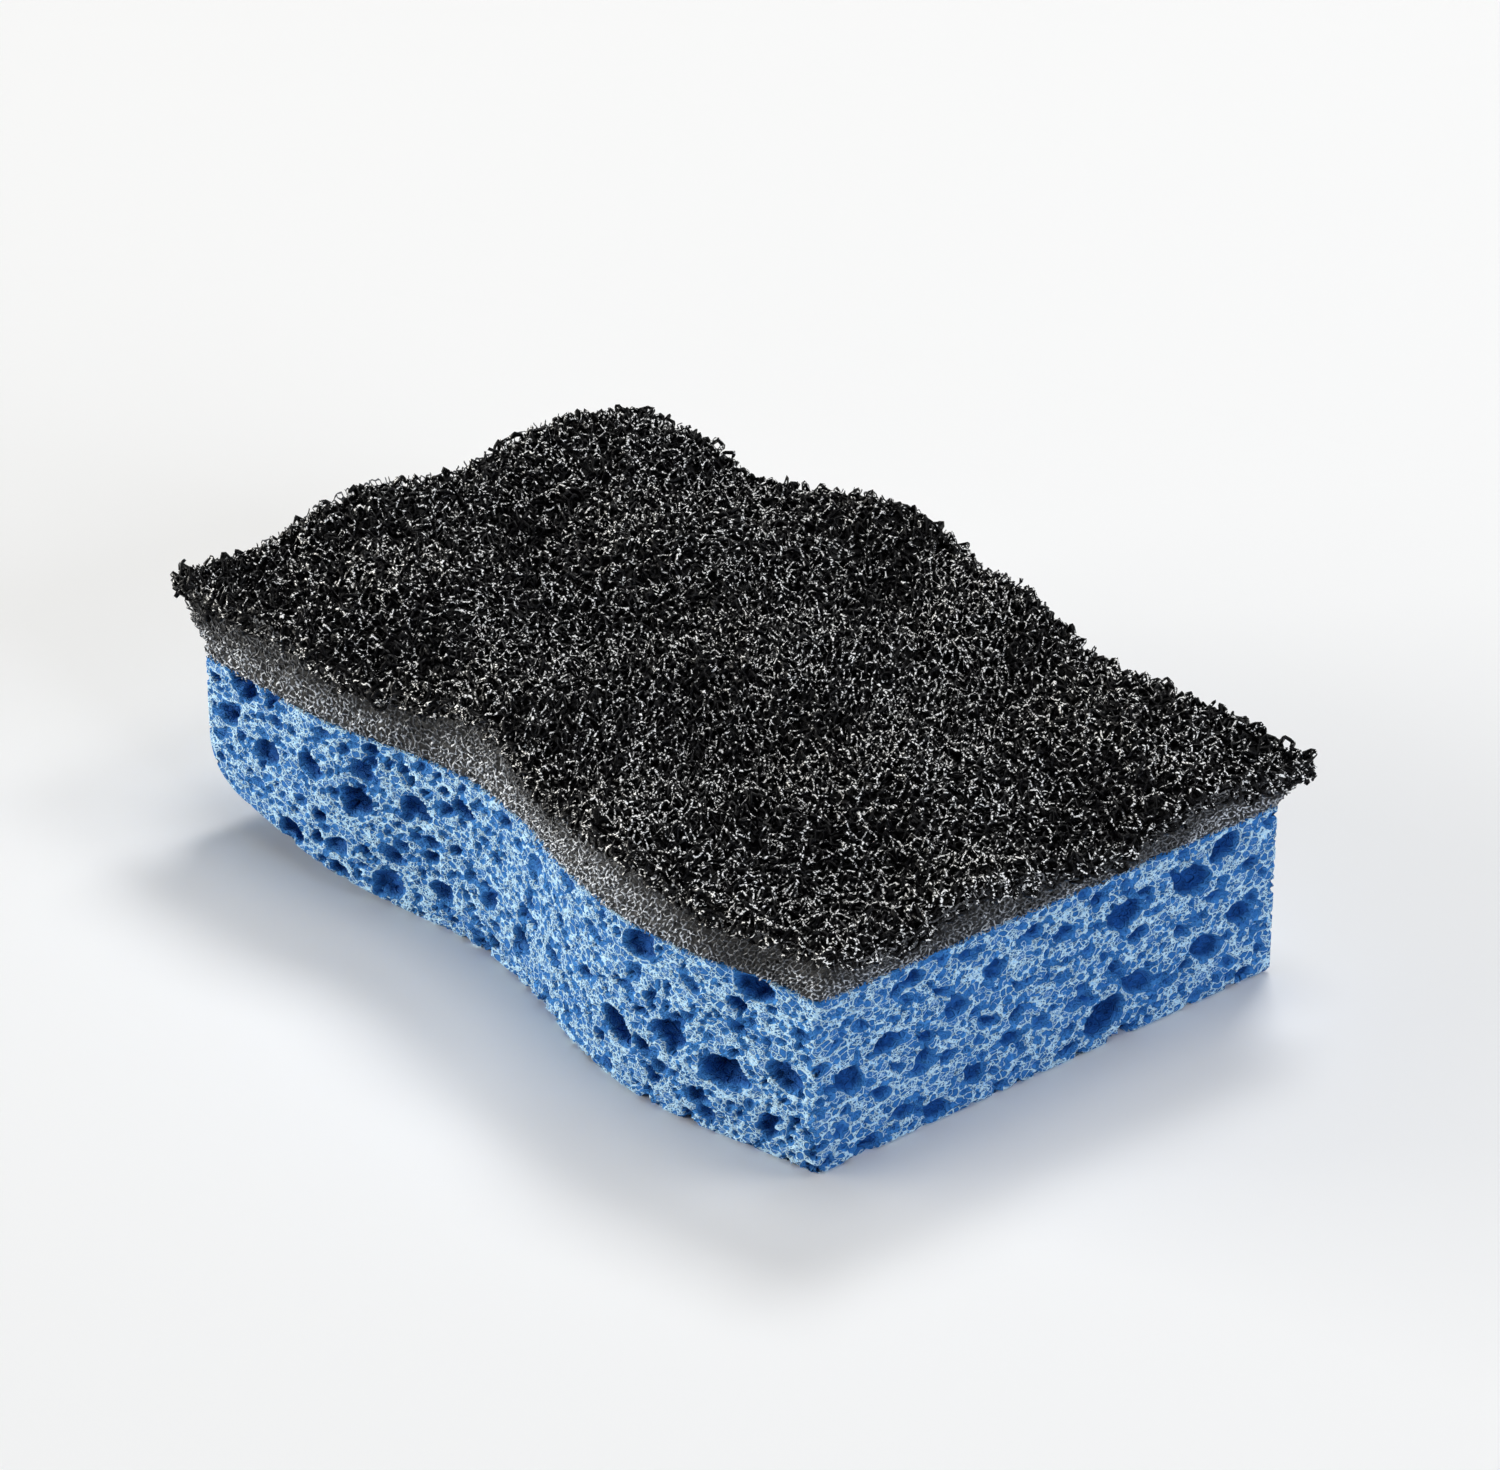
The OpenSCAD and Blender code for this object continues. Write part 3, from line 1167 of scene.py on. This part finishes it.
@dataclass
class CrustNet:
    """One layer of the crust's struts, laid over the ripples and rolled over the rim."""

    form: Form
    name: str
    net: StrutNet
    rise: float
    roll_radius: float = 0.9
    overhang: float = 0.2
    drape: float = 2.9
    ragged: float = 1.3
    tear_fine: Wander = Wander(0.6, 1.8, 161)
    tear_broad: Wander = Wander(0.4, 9.0, 163)
    patches: Wander = Wander(0.35, 11.0, 171)
    # Painted glints: more pale grit towards the right end, up to a share of the half length.
    painted_glint_slope: float = 0.2
    right_share: float = 0.2

    @property
    def rim_p(self) -> float:
        """Half the length over which the layer lies before it rolls over the rim."""
        return self.form.half_l + self.form.end_flare - self.roll_radius + self.overhang

    @property
    def rim_q(self) -> float:
        """Half the width over which it lies."""
        return self.form.half_w + self.form.side_flare - self.roll_radius + self.overhang

    def height(self, x: np.ndarray, y: np.ndarray) -> np.ndarray:
        """Height of the layer: the pad's top, the crust's lumps and the layer's rise.

        Args:
            x: Place along the sponge.
            y: Place across it.

        Returns:
            The height at each place.
        """
        form = self.form
        v = (y - form.swing(x * form.half_l / self.rim_p)) / self.rim_q
        return form.block_h + form.pad_top(x, y) + form.lump(x / self.rim_p, v) + self.rise

    def place(self, p: np.ndarray, q: np.ndarray) -> Placed:
        """The layer at p and q, which are x, and y less the sides' swing, past the rim too.

        Past the rim the layer turns down round a quarter circle, then hangs straight, as far
        as a reach that noise makes ragged.

        Args:
            p: Place along the sponge.
            q: Place across it.

        Returns:
            The points, the way out of the layer, which are kept and how they shine.
        """
        form = self.form
        on_p, on_q = np.clip(p, -self.rim_p, self.rim_p), np.clip(q, -self.rim_q, self.rim_q)
        over = np.hypot(p - on_p, q - on_q)
        x, y = on_p, on_q + form.swing(on_p * form.half_l / self.rim_p)
        out = unit(np.stack([p - on_p, q - on_q, np.zeros_like(p)], axis=-1) + 1e-9)
        turn = np.clip(over / self.roll_radius, 0, np.pi / 2)
        side_step = self.roll_radius * np.sin(turn)
        drop = self.roll_radius * (1 - np.cos(turn)) + np.clip(over - self.roll_radius * np.pi / 2, 0, None)
        tilt_x = self.height(x + 0.5, y) - self.height(x - 0.5, y)
        tilt_y = self.height(x, y + 0.5) - self.height(x, y - 0.5)
        up = unit(np.stack([-tilt_x, -tilt_y, np.ones_like(tilt_x)], axis=-1))
        outward = unit(up * np.cos(turn)[..., None] + out * np.sin(turn)[..., None])
        point = np.stack([x, y, self.height(x, y) - drop], axis=-1) + out * side_step[..., None]
        point = point + outward * form.rough(x, y)[..., None]
        flat = np.stack([p, q, np.zeros_like(p)], axis=-1)
        reach = self.drape + self.ragged * (self.tear_fine.at(flat) + self.tear_broad.at(flat))
        # Random patches of grit, and a painted rise of glints towards the right end.
        slope = self.painted_glint_slope * np.clip(x / form.half_l, -1, self.right_share)
        return Placed(point, outward, over < reach, 1 + (self.patches.at(flat) + slope))

    def build(self, material: bpy.types.Material) -> bpy.types.Object:
        """Builds the layer, with room all round for its ragged edge.

        Args:
            material: Its finish.

        Returns:
            The piece.
        """
        margin = self.drape + self.ragged + self.net.pitch
        far_p, far_q = self.rim_p + margin, self.rim_q + margin
        grown = self.net.grow(self.place, (-far_p, far_p), (-far_q, far_q), False)
        piece = make_piece(self.name, grown, material)
        return piece


# Finishes

# A colour mix node's sockets by number, as it has sockets of the same name for other data.
MIX_SOCKETS = (0, 6, 7)
MIX_COLOUR_OUT = 2


class Band(NamedTuple):
    """A range of a value, from low to high, and what it is carried to, from start to end."""

    low: float
    high: float
    start: float = 0.0
    end: float = 1.0


class Grade(NamedTuple):
    """One grade of small cells: their size, their ridges' share of it and the filled share.

    The ridges are full up to the foot's share of the rim, and a cell's floor is round, from
    the round band's first distance to its second. Its own number sets how deep it looks: how
    dark its painted shade is and how far its bump sinks.
    """

    size: float
    rim: float
    filled: float
    foot: float = 0.35
    nest: float = 0.7
    onset: float = 0.04
    round_band: Band = Band(0.8, 0.62)
    shallowest: float = 0.6


class Shader:
    """A material's node tree, built up one node at a time."""

    def __init__(self, name: str) -> None:
        """Starts a material with one principled surface.

        Args:
            name: The material's name.
        """
        self.material = bpy.data.materials.new(name)
        self.material.use_nodes = True
        self.tree = self.material.node_tree
        self.surface = self.tree.nodes["Principled BSDF"]

    def node(self, kind: str, settings: dict | None = None, **inputs: object) -> bpy.types.Node:
        """Adds a node.

        Args:
            kind: The node's type.
            settings: Its own properties.
            **inputs: Its sockets by name, with spaces as underscores, each a value or a
                socket that feeds it. An input named in_0 is the socket number 0.

        Returns:
            The new node.
        """
        made = self.tree.nodes.new(kind)
        for key, value in (settings or {}).items():
            setattr(made, key, value)
        for key, value in inputs.items():
            name = int(key[3:]) if key.startswith("in_") else key.replace("_", " ")
            self.feed(made.inputs[name], value)
        return made

    def feed(self, socket: Socket, value: object) -> None:
        """Sets a socket, or links it where the value is another socket.

        Args:
            socket: The socket.
            value: A value, or the socket that feeds it.
        """
        if isinstance(value, Socket):
            self.tree.links.new(value, socket)
        else:
            socket.default_value = value

    def dress(self, **inputs: object) -> None:
        """Sets or links the surface's own sockets, named with underscores for spaces."""
        for key, value in inputs.items():
            self.feed(self.surface.inputs[key.replace("_", " ")], value)

    def place(self, stretch: Colour = (1.0, 1.0, 1.0)) -> Socket:
        """The point in millimetres, each axis multiplied by its stretch.

        Args:
            stretch: How much each axis is stretched.

        Returns:
            The place.
        """
        coordinates = self.node("ShaderNodeTexCoord")
        scale = tuple(axis / METRE for axis in stretch)
        return self.node("ShaderNodeMapping", Vector=coordinates.outputs["Object"], Scale=scale).outputs[0]

    def number(self, name: str) -> Socket:
        """A number that the mesh holds for each point."""
        return self.node("ShaderNodeAttribute", {"attribute_name": name}).outputs["Fac"]

    def noise(self, place: Socket, size: float, detail: float = 2.0) -> Socket:
        """Smooth noise from 0 to 1 with features of a size in millimetres."""
        return self.node("ShaderNodeTexNoise", Vector=place, Scale=1 / size, Detail=detail).outputs[0]

    def cells(self, place: Socket, size: float) -> tuple[Socket, Socket, Socket]:
        """Irregular cells of a size in millimetres.

        Args:
            place: Where the cells lie.
            size: Their usual size.

        Returns:
            The distance to the nearest edge between cells, the distance from the cell's own
            middle, both as shares of the size, and the cell's own random number.
        """
        scale = 1 / size
        edge = self.node("ShaderNodeTexVoronoi", {"feature": "DISTANCE_TO_EDGE"}, Vector=place, Scale=scale)
        own = self.node("ShaderNodeTexVoronoi", {"feature": "F1"}, Vector=place, Scale=scale)
        number = self.node("ShaderNodeSeparateColor", Color=own.outputs["Color"]).outputs[0]
        return edge.outputs["Distance"], own.outputs["Distance"], number

    def froth(self, place: Socket, grades: tuple[Grade, ...]) -> Socket:
        """Open cells between thin ridges, each grade inside the filled cells of the one before.

        Args:
            place: Where the cells lie.
            grades: The grades of cells, from wide to narrow.

        Returns:
            From 0 on the ridges to 1 in the open cells.
        """
        depth, room = 0.0, 1.0
        for grade in grades:
            edge, middle, number = self.cells(place, grade.size)
            opened = self.fit(number, Band(grade.filled, grade.filled + grade.onset))
            walled = self.fit(edge, Band(grade.rim * grade.foot, grade.rim))
            rounded = self.sums("MULTIPLY", walled, self.fit(middle, grade.round_band))
            floor = self.sums("MULTIPLY", rounded, opened)
            floor = self.sums("MULTIPLY", floor, self.fit(number, Band(grade.filled, 1.0, grade.shallowest)))
            depth = self.sums("MAXIMUM", depth, self.sums("MULTIPLY", floor, room))
            closed = self.sums("SUBTRACT", 1.0, opened)
            within = self.fit(edge, Band(0.0, grade.rim * grade.nest))
            room = self.sums("MULTIPLY", room, self.sums("MULTIPLY", closed, within))
        return depth

    def fit(self, value: Socket, band: Band) -> Socket:
        """The value carried smoothly from the band's range to what it is carried to.

        Args:
            value: The value.
            band: The two ranges.

        Returns:
            The value in its new range.
        """
        made = self.node("ShaderNodeMapRange", {"interpolation_type": "SMOOTHSTEP"}, Value=value,
                         From_Min=band.low, From_Max=band.high, To_Min=band.start, To_Max=band.end)
        return made.outputs[0]

    def sums(self, operation: str, first: object, second: object) -> Socket:
        """One step of arithmetic between two numbers or sockets."""
        return self.node("ShaderNodeMath", {"operation": operation}, in_0=first, in_1=second).outputs[0]

    def vectors(self, operation: str, **inputs: object) -> Socket:
        """One step of arithmetic with vectors."""
        return self.node("ShaderNodeVectorMath", {"operation": operation}, **inputs).outputs[0]

    def mix(self, share: object, first: object, second: object) -> Socket:
        """The second colour over the first, by a share from 0 to 1.

        Args:
            share: The second colour's share.
            first: The colour below.
            second: The colour above.

        Returns:
            The mixed colour.
        """
        made = self.node("ShaderNodeMix", {"data_type": "RGBA"})
        for slot, value in zip(MIX_SOCKETS, (share, first, second)):
            if isinstance(value, tuple):
                value = (*value, 1.0)
            self.feed(made.inputs[slot], value)
        return made.outputs[MIX_COLOUR_OUT]

    def bend(self, place: Socket, size: float, reach: float) -> Socket:
        """The place pushed about by noise with features of a size, as far as the reach.

        Args:
            place: The place.
            size: Size of the noise's features in millimetres.
            reach: How far a place is pushed at most.

        Returns:
            The pushed place.
        """
        made = self.node("ShaderNodeTexNoise", Vector=place, Scale=1 / size, Detail=1.0)
        around = self.vectors("SUBTRACT", in_0=made.outputs["Color"], in_1=(0.5, 0.5, 0.5))
        pushed = self.vectors("SCALE", in_0=around, Scale=2 * reach)
        return self.vectors("ADD", in_0=place, in_1=pushed)

    def bump(self, height: Socket, depth: float) -> Socket:
        """A surface bent by a height, whose full range is a depth in millimetres."""
        return self.node("ShaderNodeBump", Height=height, Distance=depth * METRE, Strength=1.0).outputs[0]


@dataclass(frozen=True)
class CelluloseFinish:
    """Matt blue cellulose: pale grain on the skin, a painted highlight on the rims of the
    openings, and painted shade, deep blue, down in the openings and the small cells.

    Each band carries one measure to a share of one colour: the grain and the small cells'
    tone on the skin, whose cells get painted shade, the nearness to an opening at its rim,
    which gets a painted highlight, and the depth on its floor, which gets painted shade.
    """

    # Pale is the skin's light grain, and also a painted highlight along the openings' rims.
    pale: Colour = (0.6, 0.84, 1.0)
    plain: Colour = (0.3, 0.6, 0.96)
    # Painted shade: pit in the small cells and on floors, shade on shallow floors, deep far down.
    pit_shade: Colour = (0.022, 0.15, 0.46)
    shade: Colour = (0.055, 0.26, 0.68)
    deep: Colour = (0.008, 0.085, 0.34)
    roughness: float = 0.85
    specular: float = 0.2
    squash: Colour = (1.0, 1.0, 1.45)
    bend_size: float = 1.6
    bend_reach: float = 0.22
    grain_size: float = 0.24
    grain_detail: float = 3.0
    grades: tuple[Grade, ...] = (Grade(1.25, 0.1, 0.55), Grade(0.75, 0.14, 0.35), Grade(0.42, 0.22, 0.15))
    grain_in_tone: Band = Band(0.35, 0.65, 0.2, -0.2)
    grain_to_pale: Band = Band(0.36, 0.56)
    # Small cells darkened towards pit by painted shade.
    cells_to_painted_shade: Band = Band(0.15, 0.75)
    # Rims lightened by a painted highlight.
    rim_to_painted_highlight: Band = Band(-0.42, -0.25, 0.0, 0.7)
    # Floors darkened by painted shade, which deepens with the depth.
    floor_to_painted_shade: Band = Band(0.1, 0.9, 0.0, 0.8)
    depth_to_painted_shade: Band = Band(0.15, 1.2)
    inside: Band = Band(-0.23, -0.11)
    grain_in_height: Band = Band(0.3, 0.7, 0.0, 0.25)
    bump_depth: float = 0.35

    def make(self) -> bpy.types.Material:
        """Makes the material: small cells pit the skin with painted shade, rims get a painted highlight, and
        openings get painted shade that darkens with their depth.

        Returns:
            The material.
        """
        shader = Shader("blue_cellulose")
        place = shader.bend(shader.place(self.squash), self.bend_size, self.bend_reach)
        grain = shader.noise(place, self.grain_size, self.grain_detail)
        cells = shader.froth(place, self.grades)
        tone = shader.sums("ADD", cells, shader.fit(grain, self.grain_in_tone))
        skin = shader.mix(shader.fit(grain, self.grain_to_pale), self.plain, self.pale)
        # Painted shade in the small cells.
        skin = shader.mix(shader.fit(tone, self.cells_to_painted_shade), skin, self.pit_shade)
        inner = shader.number("inner")
        # Painted highlight along the rims of the openings.
        skin = shader.mix(shader.fit(inner, self.rim_to_painted_highlight), skin, self.pale)
        # Painted shade on the openings' floors, deeper with their depth.
        floor = shader.mix(shader.fit(tone, self.floor_to_painted_shade), self.shade, self.pit_shade)
        floor = shader.mix(shader.fit(shader.number("hollow"), self.depth_to_painted_shade), floor, self.deep)
        colour = shader.mix(shader.fit(inner, self.inside), skin, floor)
        height = shader.sums("SUBTRACT", shader.fit(grain, self.grain_in_height), cells)
        shader.dress(Base_Color=colour, Roughness=self.roughness, Specular_IOR_Level=self.specular,
                     Normal=shader.bump(height, self.bump_depth))
        return shader.material


@dataclass(frozen=True)
class StainedFoamFinish:
    """Grey foam with painted shade for its holes, stained black from the crust down along a wandering line.
    """

    name: str
    grey: Colour
    hole_shade: Colour
    black: Colour
    roughness: float = 0.6
    grain_size: float = 0.36
    grain_to_hole_shade: Band = Band(0.44, 0.56)
    near_size: float = 1.6
    near_wander: Band = Band(0.3, 0.7, -0.1, 0.1)
    far_size: float = 14.0
    far_wander: Band = Band(0.35, 0.65, -0.12, 0.12)
    stain_to_black: Band = Band(0.3, 0.75, 0.0, 0.85)
    bump_depth: float = 0.1

    def make(self) -> bpy.types.Material:
        """Makes the material from a grain that lays painted shade for holes, the mesh's stain and noise of
        two sizes on it.

        Returns:
            The material.
        """
        shader = Shader(self.name)
        place = shader.place()
        grain = shader.noise(place, self.grain_size)
        # The grain darkens patches to the hole colour: painted shade for the foam's holes.
        colour = shader.mix(shader.fit(grain, self.grain_to_hole_shade), self.grey, self.hole_shade)
        near = shader.fit(shader.noise(place, self.near_size), self.near_wander)
        far = shader.fit(shader.noise(place, self.far_size, 1.0), self.far_wander)
        stain = shader.sums("ADD", shader.number("stain"), shader.sums("ADD", near, far))
        colour = shader.mix(shader.fit(stain, self.stain_to_black), colour, self.black)
        bumps = shader.bump(grain, self.bump_depth)
        shader.dress(Base_Color=colour, Roughness=self.roughness, Normal=bumps)
        return shader.material


@dataclass(frozen=True)
class GritFinish:
    """Black resin with pale grit along its ridges: partly real glassy grit, partly painted glints."""

    name: str
    resin: Colour = (0.003, 0.003, 0.0035)
    # Pale grit: partly the crust's real grit, partly painted glints on its glossy struts.
    grit_and_glint: Colour = (0.95, 0.95, 0.93)
    roughness: float = 0.3
    specular: float = 0.12
    grain_size: float = 0.25
    break_stretch: Colour = (1.0, 1.0, 1.5)
    break_size: float = 0.3
    unbroken: Band = Band(0.51, 0.57, 0.0, 1.3)
    grit_and_glint_shows: Band = Band(0.28, 0.42)
    bump_depth: float = 0.1

    def make(self) -> bpy.types.Material:
        """Makes the material: the mesh says where grit and painted glints show, and fine noise breaks them
        up.

        Returns:
            The material.
        """
        shader = Shader(self.name)
        grain = shader.noise(shader.place(), self.grain_size)
        broken = shader.noise(shader.place(self.break_stretch), self.break_size, 1.0)
        grit_and_glint = shader.sums("MULTIPLY", shader.number("grit_and_glint"), shader.fit(broken, self.unbroken))
        colour = shader.mix(shader.fit(grit_and_glint, self.grit_and_glint_shows), self.resin, self.grit_and_glint)
        shader.dress(Base_Color=colour, Roughness=self.roughness, Specular_IOR_Level=self.specular,
                     Normal=shader.bump(grain, self.bump_depth))
        return shader.material


# Stage


def direction(azimuth: float, elevation: float) -> Vector:
    """The way out from the sponge at an azimuth, counted from -Y towards +X, and an elevation."""
    turn, rise = math.radians(azimuth), math.radians(elevation)
    return Vector((math.sin(turn) * math.cos(rise), -math.cos(turn) * math.cos(rise), math.sin(rise)))


@dataclass(frozen=True)
class Viewpoint:
    """The photograph's camera: where it stands, what it aims at and its lens."""

    azimuth: float = 49.308
    elevation: float = 26.707
    distance: float = 627.72
    aim_right: float = 2.798
    aim_up: float = 18.936
    lens: float = 123.99
    sensor: float = 36.0
    nearest: float = 0.01
    farthest: float = 20.0

    def build(self) -> None:
        """Places the camera and makes it the scene's own."""
        back = direction(self.azimuth, self.elevation)
        right = Vector((-back.y, back.x, 0.0)).normalized()
        up = back.cross(right)
        spot = right * self.aim_right + up * self.aim_up + back * self.distance
        data = bpy.data.cameras.new("camera")
        data.lens, data.sensor_width, data.sensor_fit = self.lens, self.sensor, "HORIZONTAL"
        data.clip_start, data.clip_end = self.nearest, self.farthest
        camera = bpy.data.objects.new("camera", data)
        turned = Matrix((right, up, back)).transposed().to_4x4()
        camera.matrix_world = Matrix.Translation(spot * METRE) @ turned
        bpy.context.scene.collection.objects.link(camera)
        bpy.context.scene.camera = camera


@dataclass(frozen=True)
class Lamp:
    """A soft lamp, wide and high, that faces the sponge from a distance in metres.

    Its level is what a white surface facing it would show.
    """

    name: str
    azimuth: float
    elevation: float
    wide: float
    high: float
    level: float
    tint: Colour = (1.0, 1.0, 1.0)
    distance: float = 1.6

    def build(self) -> None:
        """Makes the lamp."""
        way = direction(self.azimuth, self.elevation)
        data = bpy.data.lights.new(self.name, "AREA")
        data.shape = "RECTANGLE"
        data.size, data.size_y = self.wide, self.high
        data.energy = self.level * math.pi**2 * self.distance**2
        data.color = self.tint
        lamp = bpy.data.objects.new(self.name, data)
        turned = way.to_track_quat("Z", "Y").to_matrix().to_4x4()
        lamp.matrix_world = Matrix.Translation(way * self.distance) @ turned
        bpy.context.scene.collection.objects.link(lamp)


@dataclass(frozen=True)
class Stage:
    """A pale floor, an even sky and soft lamps: a low key on the left, and fills all round."""

    floor_half: float = 3.0
    floor_colour: Colour = (0.93, 0.93, 0.925)
    sky_level: float = 0.03
    lamps: tuple[Lamp, ...] = (
        Lamp("key_left", -52.0, 5.5, wide=1.1, high=0.3, level=1.25, tint=(1.0, 0.97, 0.9)),
        Lamp("fill_front", -25.0, 18.0, wide=0.8, high=0.8, level=0.18),
        Lamp("fill_right", 90.0, 16.0, wide=0.8, high=0.8, level=0.5, tint=(0.93, 0.99, 1.1)),
        Lamp("back_right", 135.0, 55.0, wide=0.5, high=0.5, level=0.15),
        Lamp("back_left", 214.0, 55.0, wide=0.5, high=0.5, level=0.41),
        Lamp("top", 160.0, 86.0, wide=0.6, high=0.6, level=0.24),
    )

    def build_floor(self) -> None:
        """Makes the floor, a square in the plane that the sponge rests on."""
        shader = Shader("floor_card")
        shader.dress(Base_Color=(*self.floor_colour, 1.0), Roughness=1.0, Specular_IOR_Level=0.0)
        mesh = bpy.data.meshes.new("floor")
        reach = self.floor_half
        corners = [(-reach, -reach, 0), (reach, -reach, 0), (reach, reach, 0), (-reach, reach, 0)]
        mesh.from_pydata(corners, [], [(0, 1, 2, 3)])
        mesh.materials.append(shader.material)
        floor = bpy.data.objects.new("floor", mesh)
        bpy.context.scene.collection.objects.link(floor)

    def build_sky(self) -> None:
        """Makes the sky, one white all round."""
        world = bpy.data.worlds.new("sky")
        world.use_nodes = True
        sky = world.node_tree.nodes["Background"].inputs
        sky["Color"].default_value = (1.0, 1.0, 1.0, 1.0)
        sky["Strength"].default_value = self.sky_level
        bpy.context.scene.world = world

    def build(self) -> None:
        """Makes the floor, the sky and the lamps, and sets how colours are shown."""
        self.build_floor()
        self.build_sky()
        bpy.context.scene.view_settings.view_transform = "Standard"
        for lamp in self.lamps:
            lamp.build()


@dataclass(frozen=True)
class Stain:
    """The black that has crept from the crust down into the pad.

    Its share grows with the nearness to the crust. It has a head start at some places along
    the pad, and is at least so much at others, where it reaches down to the block. Places
    are shares of the half length, from -1 to 1.
    """

    start_places: tuple[float, ...] = (-1.0, -0.3, 0.5, 0.8, 1.0)
    starts: tuple[float, ...] = (0.02, 0.05, -0.2, 0.05, 0.08)
    least_places: tuple[float, ...] = (-0.9, -0.35, 0.1, 0.5, 0.78)
    leasts: tuple[float, ...] = (0.1, 0.54, 0.0, 0.1, 0.6)

    def mark(self, piece: bpy.types.Object, form: Form) -> None:
        """Gives a piece of the pad its stain, from 0 where it is clean to 1 under the crust.

        Args:
            piece: The piece.
            form: The form that the pad belongs to.
        """
        mesh = piece.data
        flat = np.empty(len(mesh.vertices) * 3, np.float32)
        mesh.vertices.foreach_get("co", flat)
        x, y, z = (flat.reshape(-1, 3) / METRE).T
        start = np.interp(x / form.half_l, self.start_places, self.starts)
        least = np.interp(x / form.half_l, self.least_places, self.leasts)
        share = np.clip(np.maximum((z - form.block_h) / form.pad_top(x, y) + start, least), 0, 1)
        mesh.attributes.new("stain", "FLOAT", "POINT").data.foreach_set("value", share.astype(np.float32))


def build_pad(form: Form) -> list[bpy.types.Object]:
    """The foam pad: a nearly black core, painted shade for the foam's depth, and a net of bright grey struts
    as its skin.

    Args:
        form: The sponge's form.

    Returns:
        The core's piece and the net's.
    """
    # The core's near black and its holes are painted shade for the foam's depth behind the struts.
    core_finish = StainedFoamFinish(
        "foam_core", grey=(0.04, 0.04, 0.042), hole_shade=(0.015, 0.015, 0.015), black=(0.006, 0.006, 0.006))
    # The strands' hole colour is painted shade for the holes between them.
    strand_finish = StainedFoamFinish(
        "foam_strand", grey=(0.8, 0.84, 0.9), hole_shade=(0.06, 0.063, 0.07), black=(0.015, 0.015, 0.016),
        roughness=0.28)
    net = StrutNet(pitch=0.66, half_width=0.085, half_height=0.1, jitter=0.28, lift=0.24, missing=0.1,
                   seed=201)
    pieces = [FoamPad(form).build(core_finish.make()), FoamNet(form, net).build(strand_finish.make())]
    stain = Stain()
    for piece in pieces:
        stain.mark(piece, form)
    return pieces


def build_crust(form: Form) -> list[bpy.types.Object]:
    """The crust: a dark bed and two nets of struts, the upper one rougher and brighter.

    Args:
        form: The sponge's form.

    Returns:
        The pieces of the bed, the lower net and the upper net.
    """
    bed = CrustBed(form).build(GritFinish("crust_resin", roughness=0.7, specular=0.15).make())
    lower = StrutNet(pitch=1.22, half_width=0.25, half_height=0.26, jitter=0.34, lift=0.3, missing=0.1,
                     seed=301, bright=0.32)
    upper = StrutNet(pitch=1.22, half_width=0.23, half_height=0.24, jitter=0.34, lift=0.5, missing=0.16,
                     seed=302, bright=0.62)
    grit_and_glint = GritFinish("crust_grit").make()
    return [
        bed,
        CrustNet(form, "crust_net_lower", lower, rise=1.2).build(grit_and_glint),
        CrustNet(form, "crust_net_upper", upper, rise=1.9).build(grit_and_glint),
    ]


def main() -> None:
    """Builds the pieces in order, reports each and sets the stage."""
    logging.basicConfig(level=logging.INFO, format="%(name)s: %(message)s")
    Viewpoint().build()
    form = Form.from_frame()
    pieces = [CelluloseBlock(form).build(CelluloseFinish().make())]
    pieces += build_pad(form)
    pieces += build_crust(form)
    for piece in pieces:
        mesh = piece.data
        triangles = len(mesh.loops) - 2 * len(mesh.polygons)
        LOG.info("%s: %d points, %d triangles", piece.name, len(mesh.vertices), triangles)
    Stage().build()


if __name__ == "__main__":
    main()
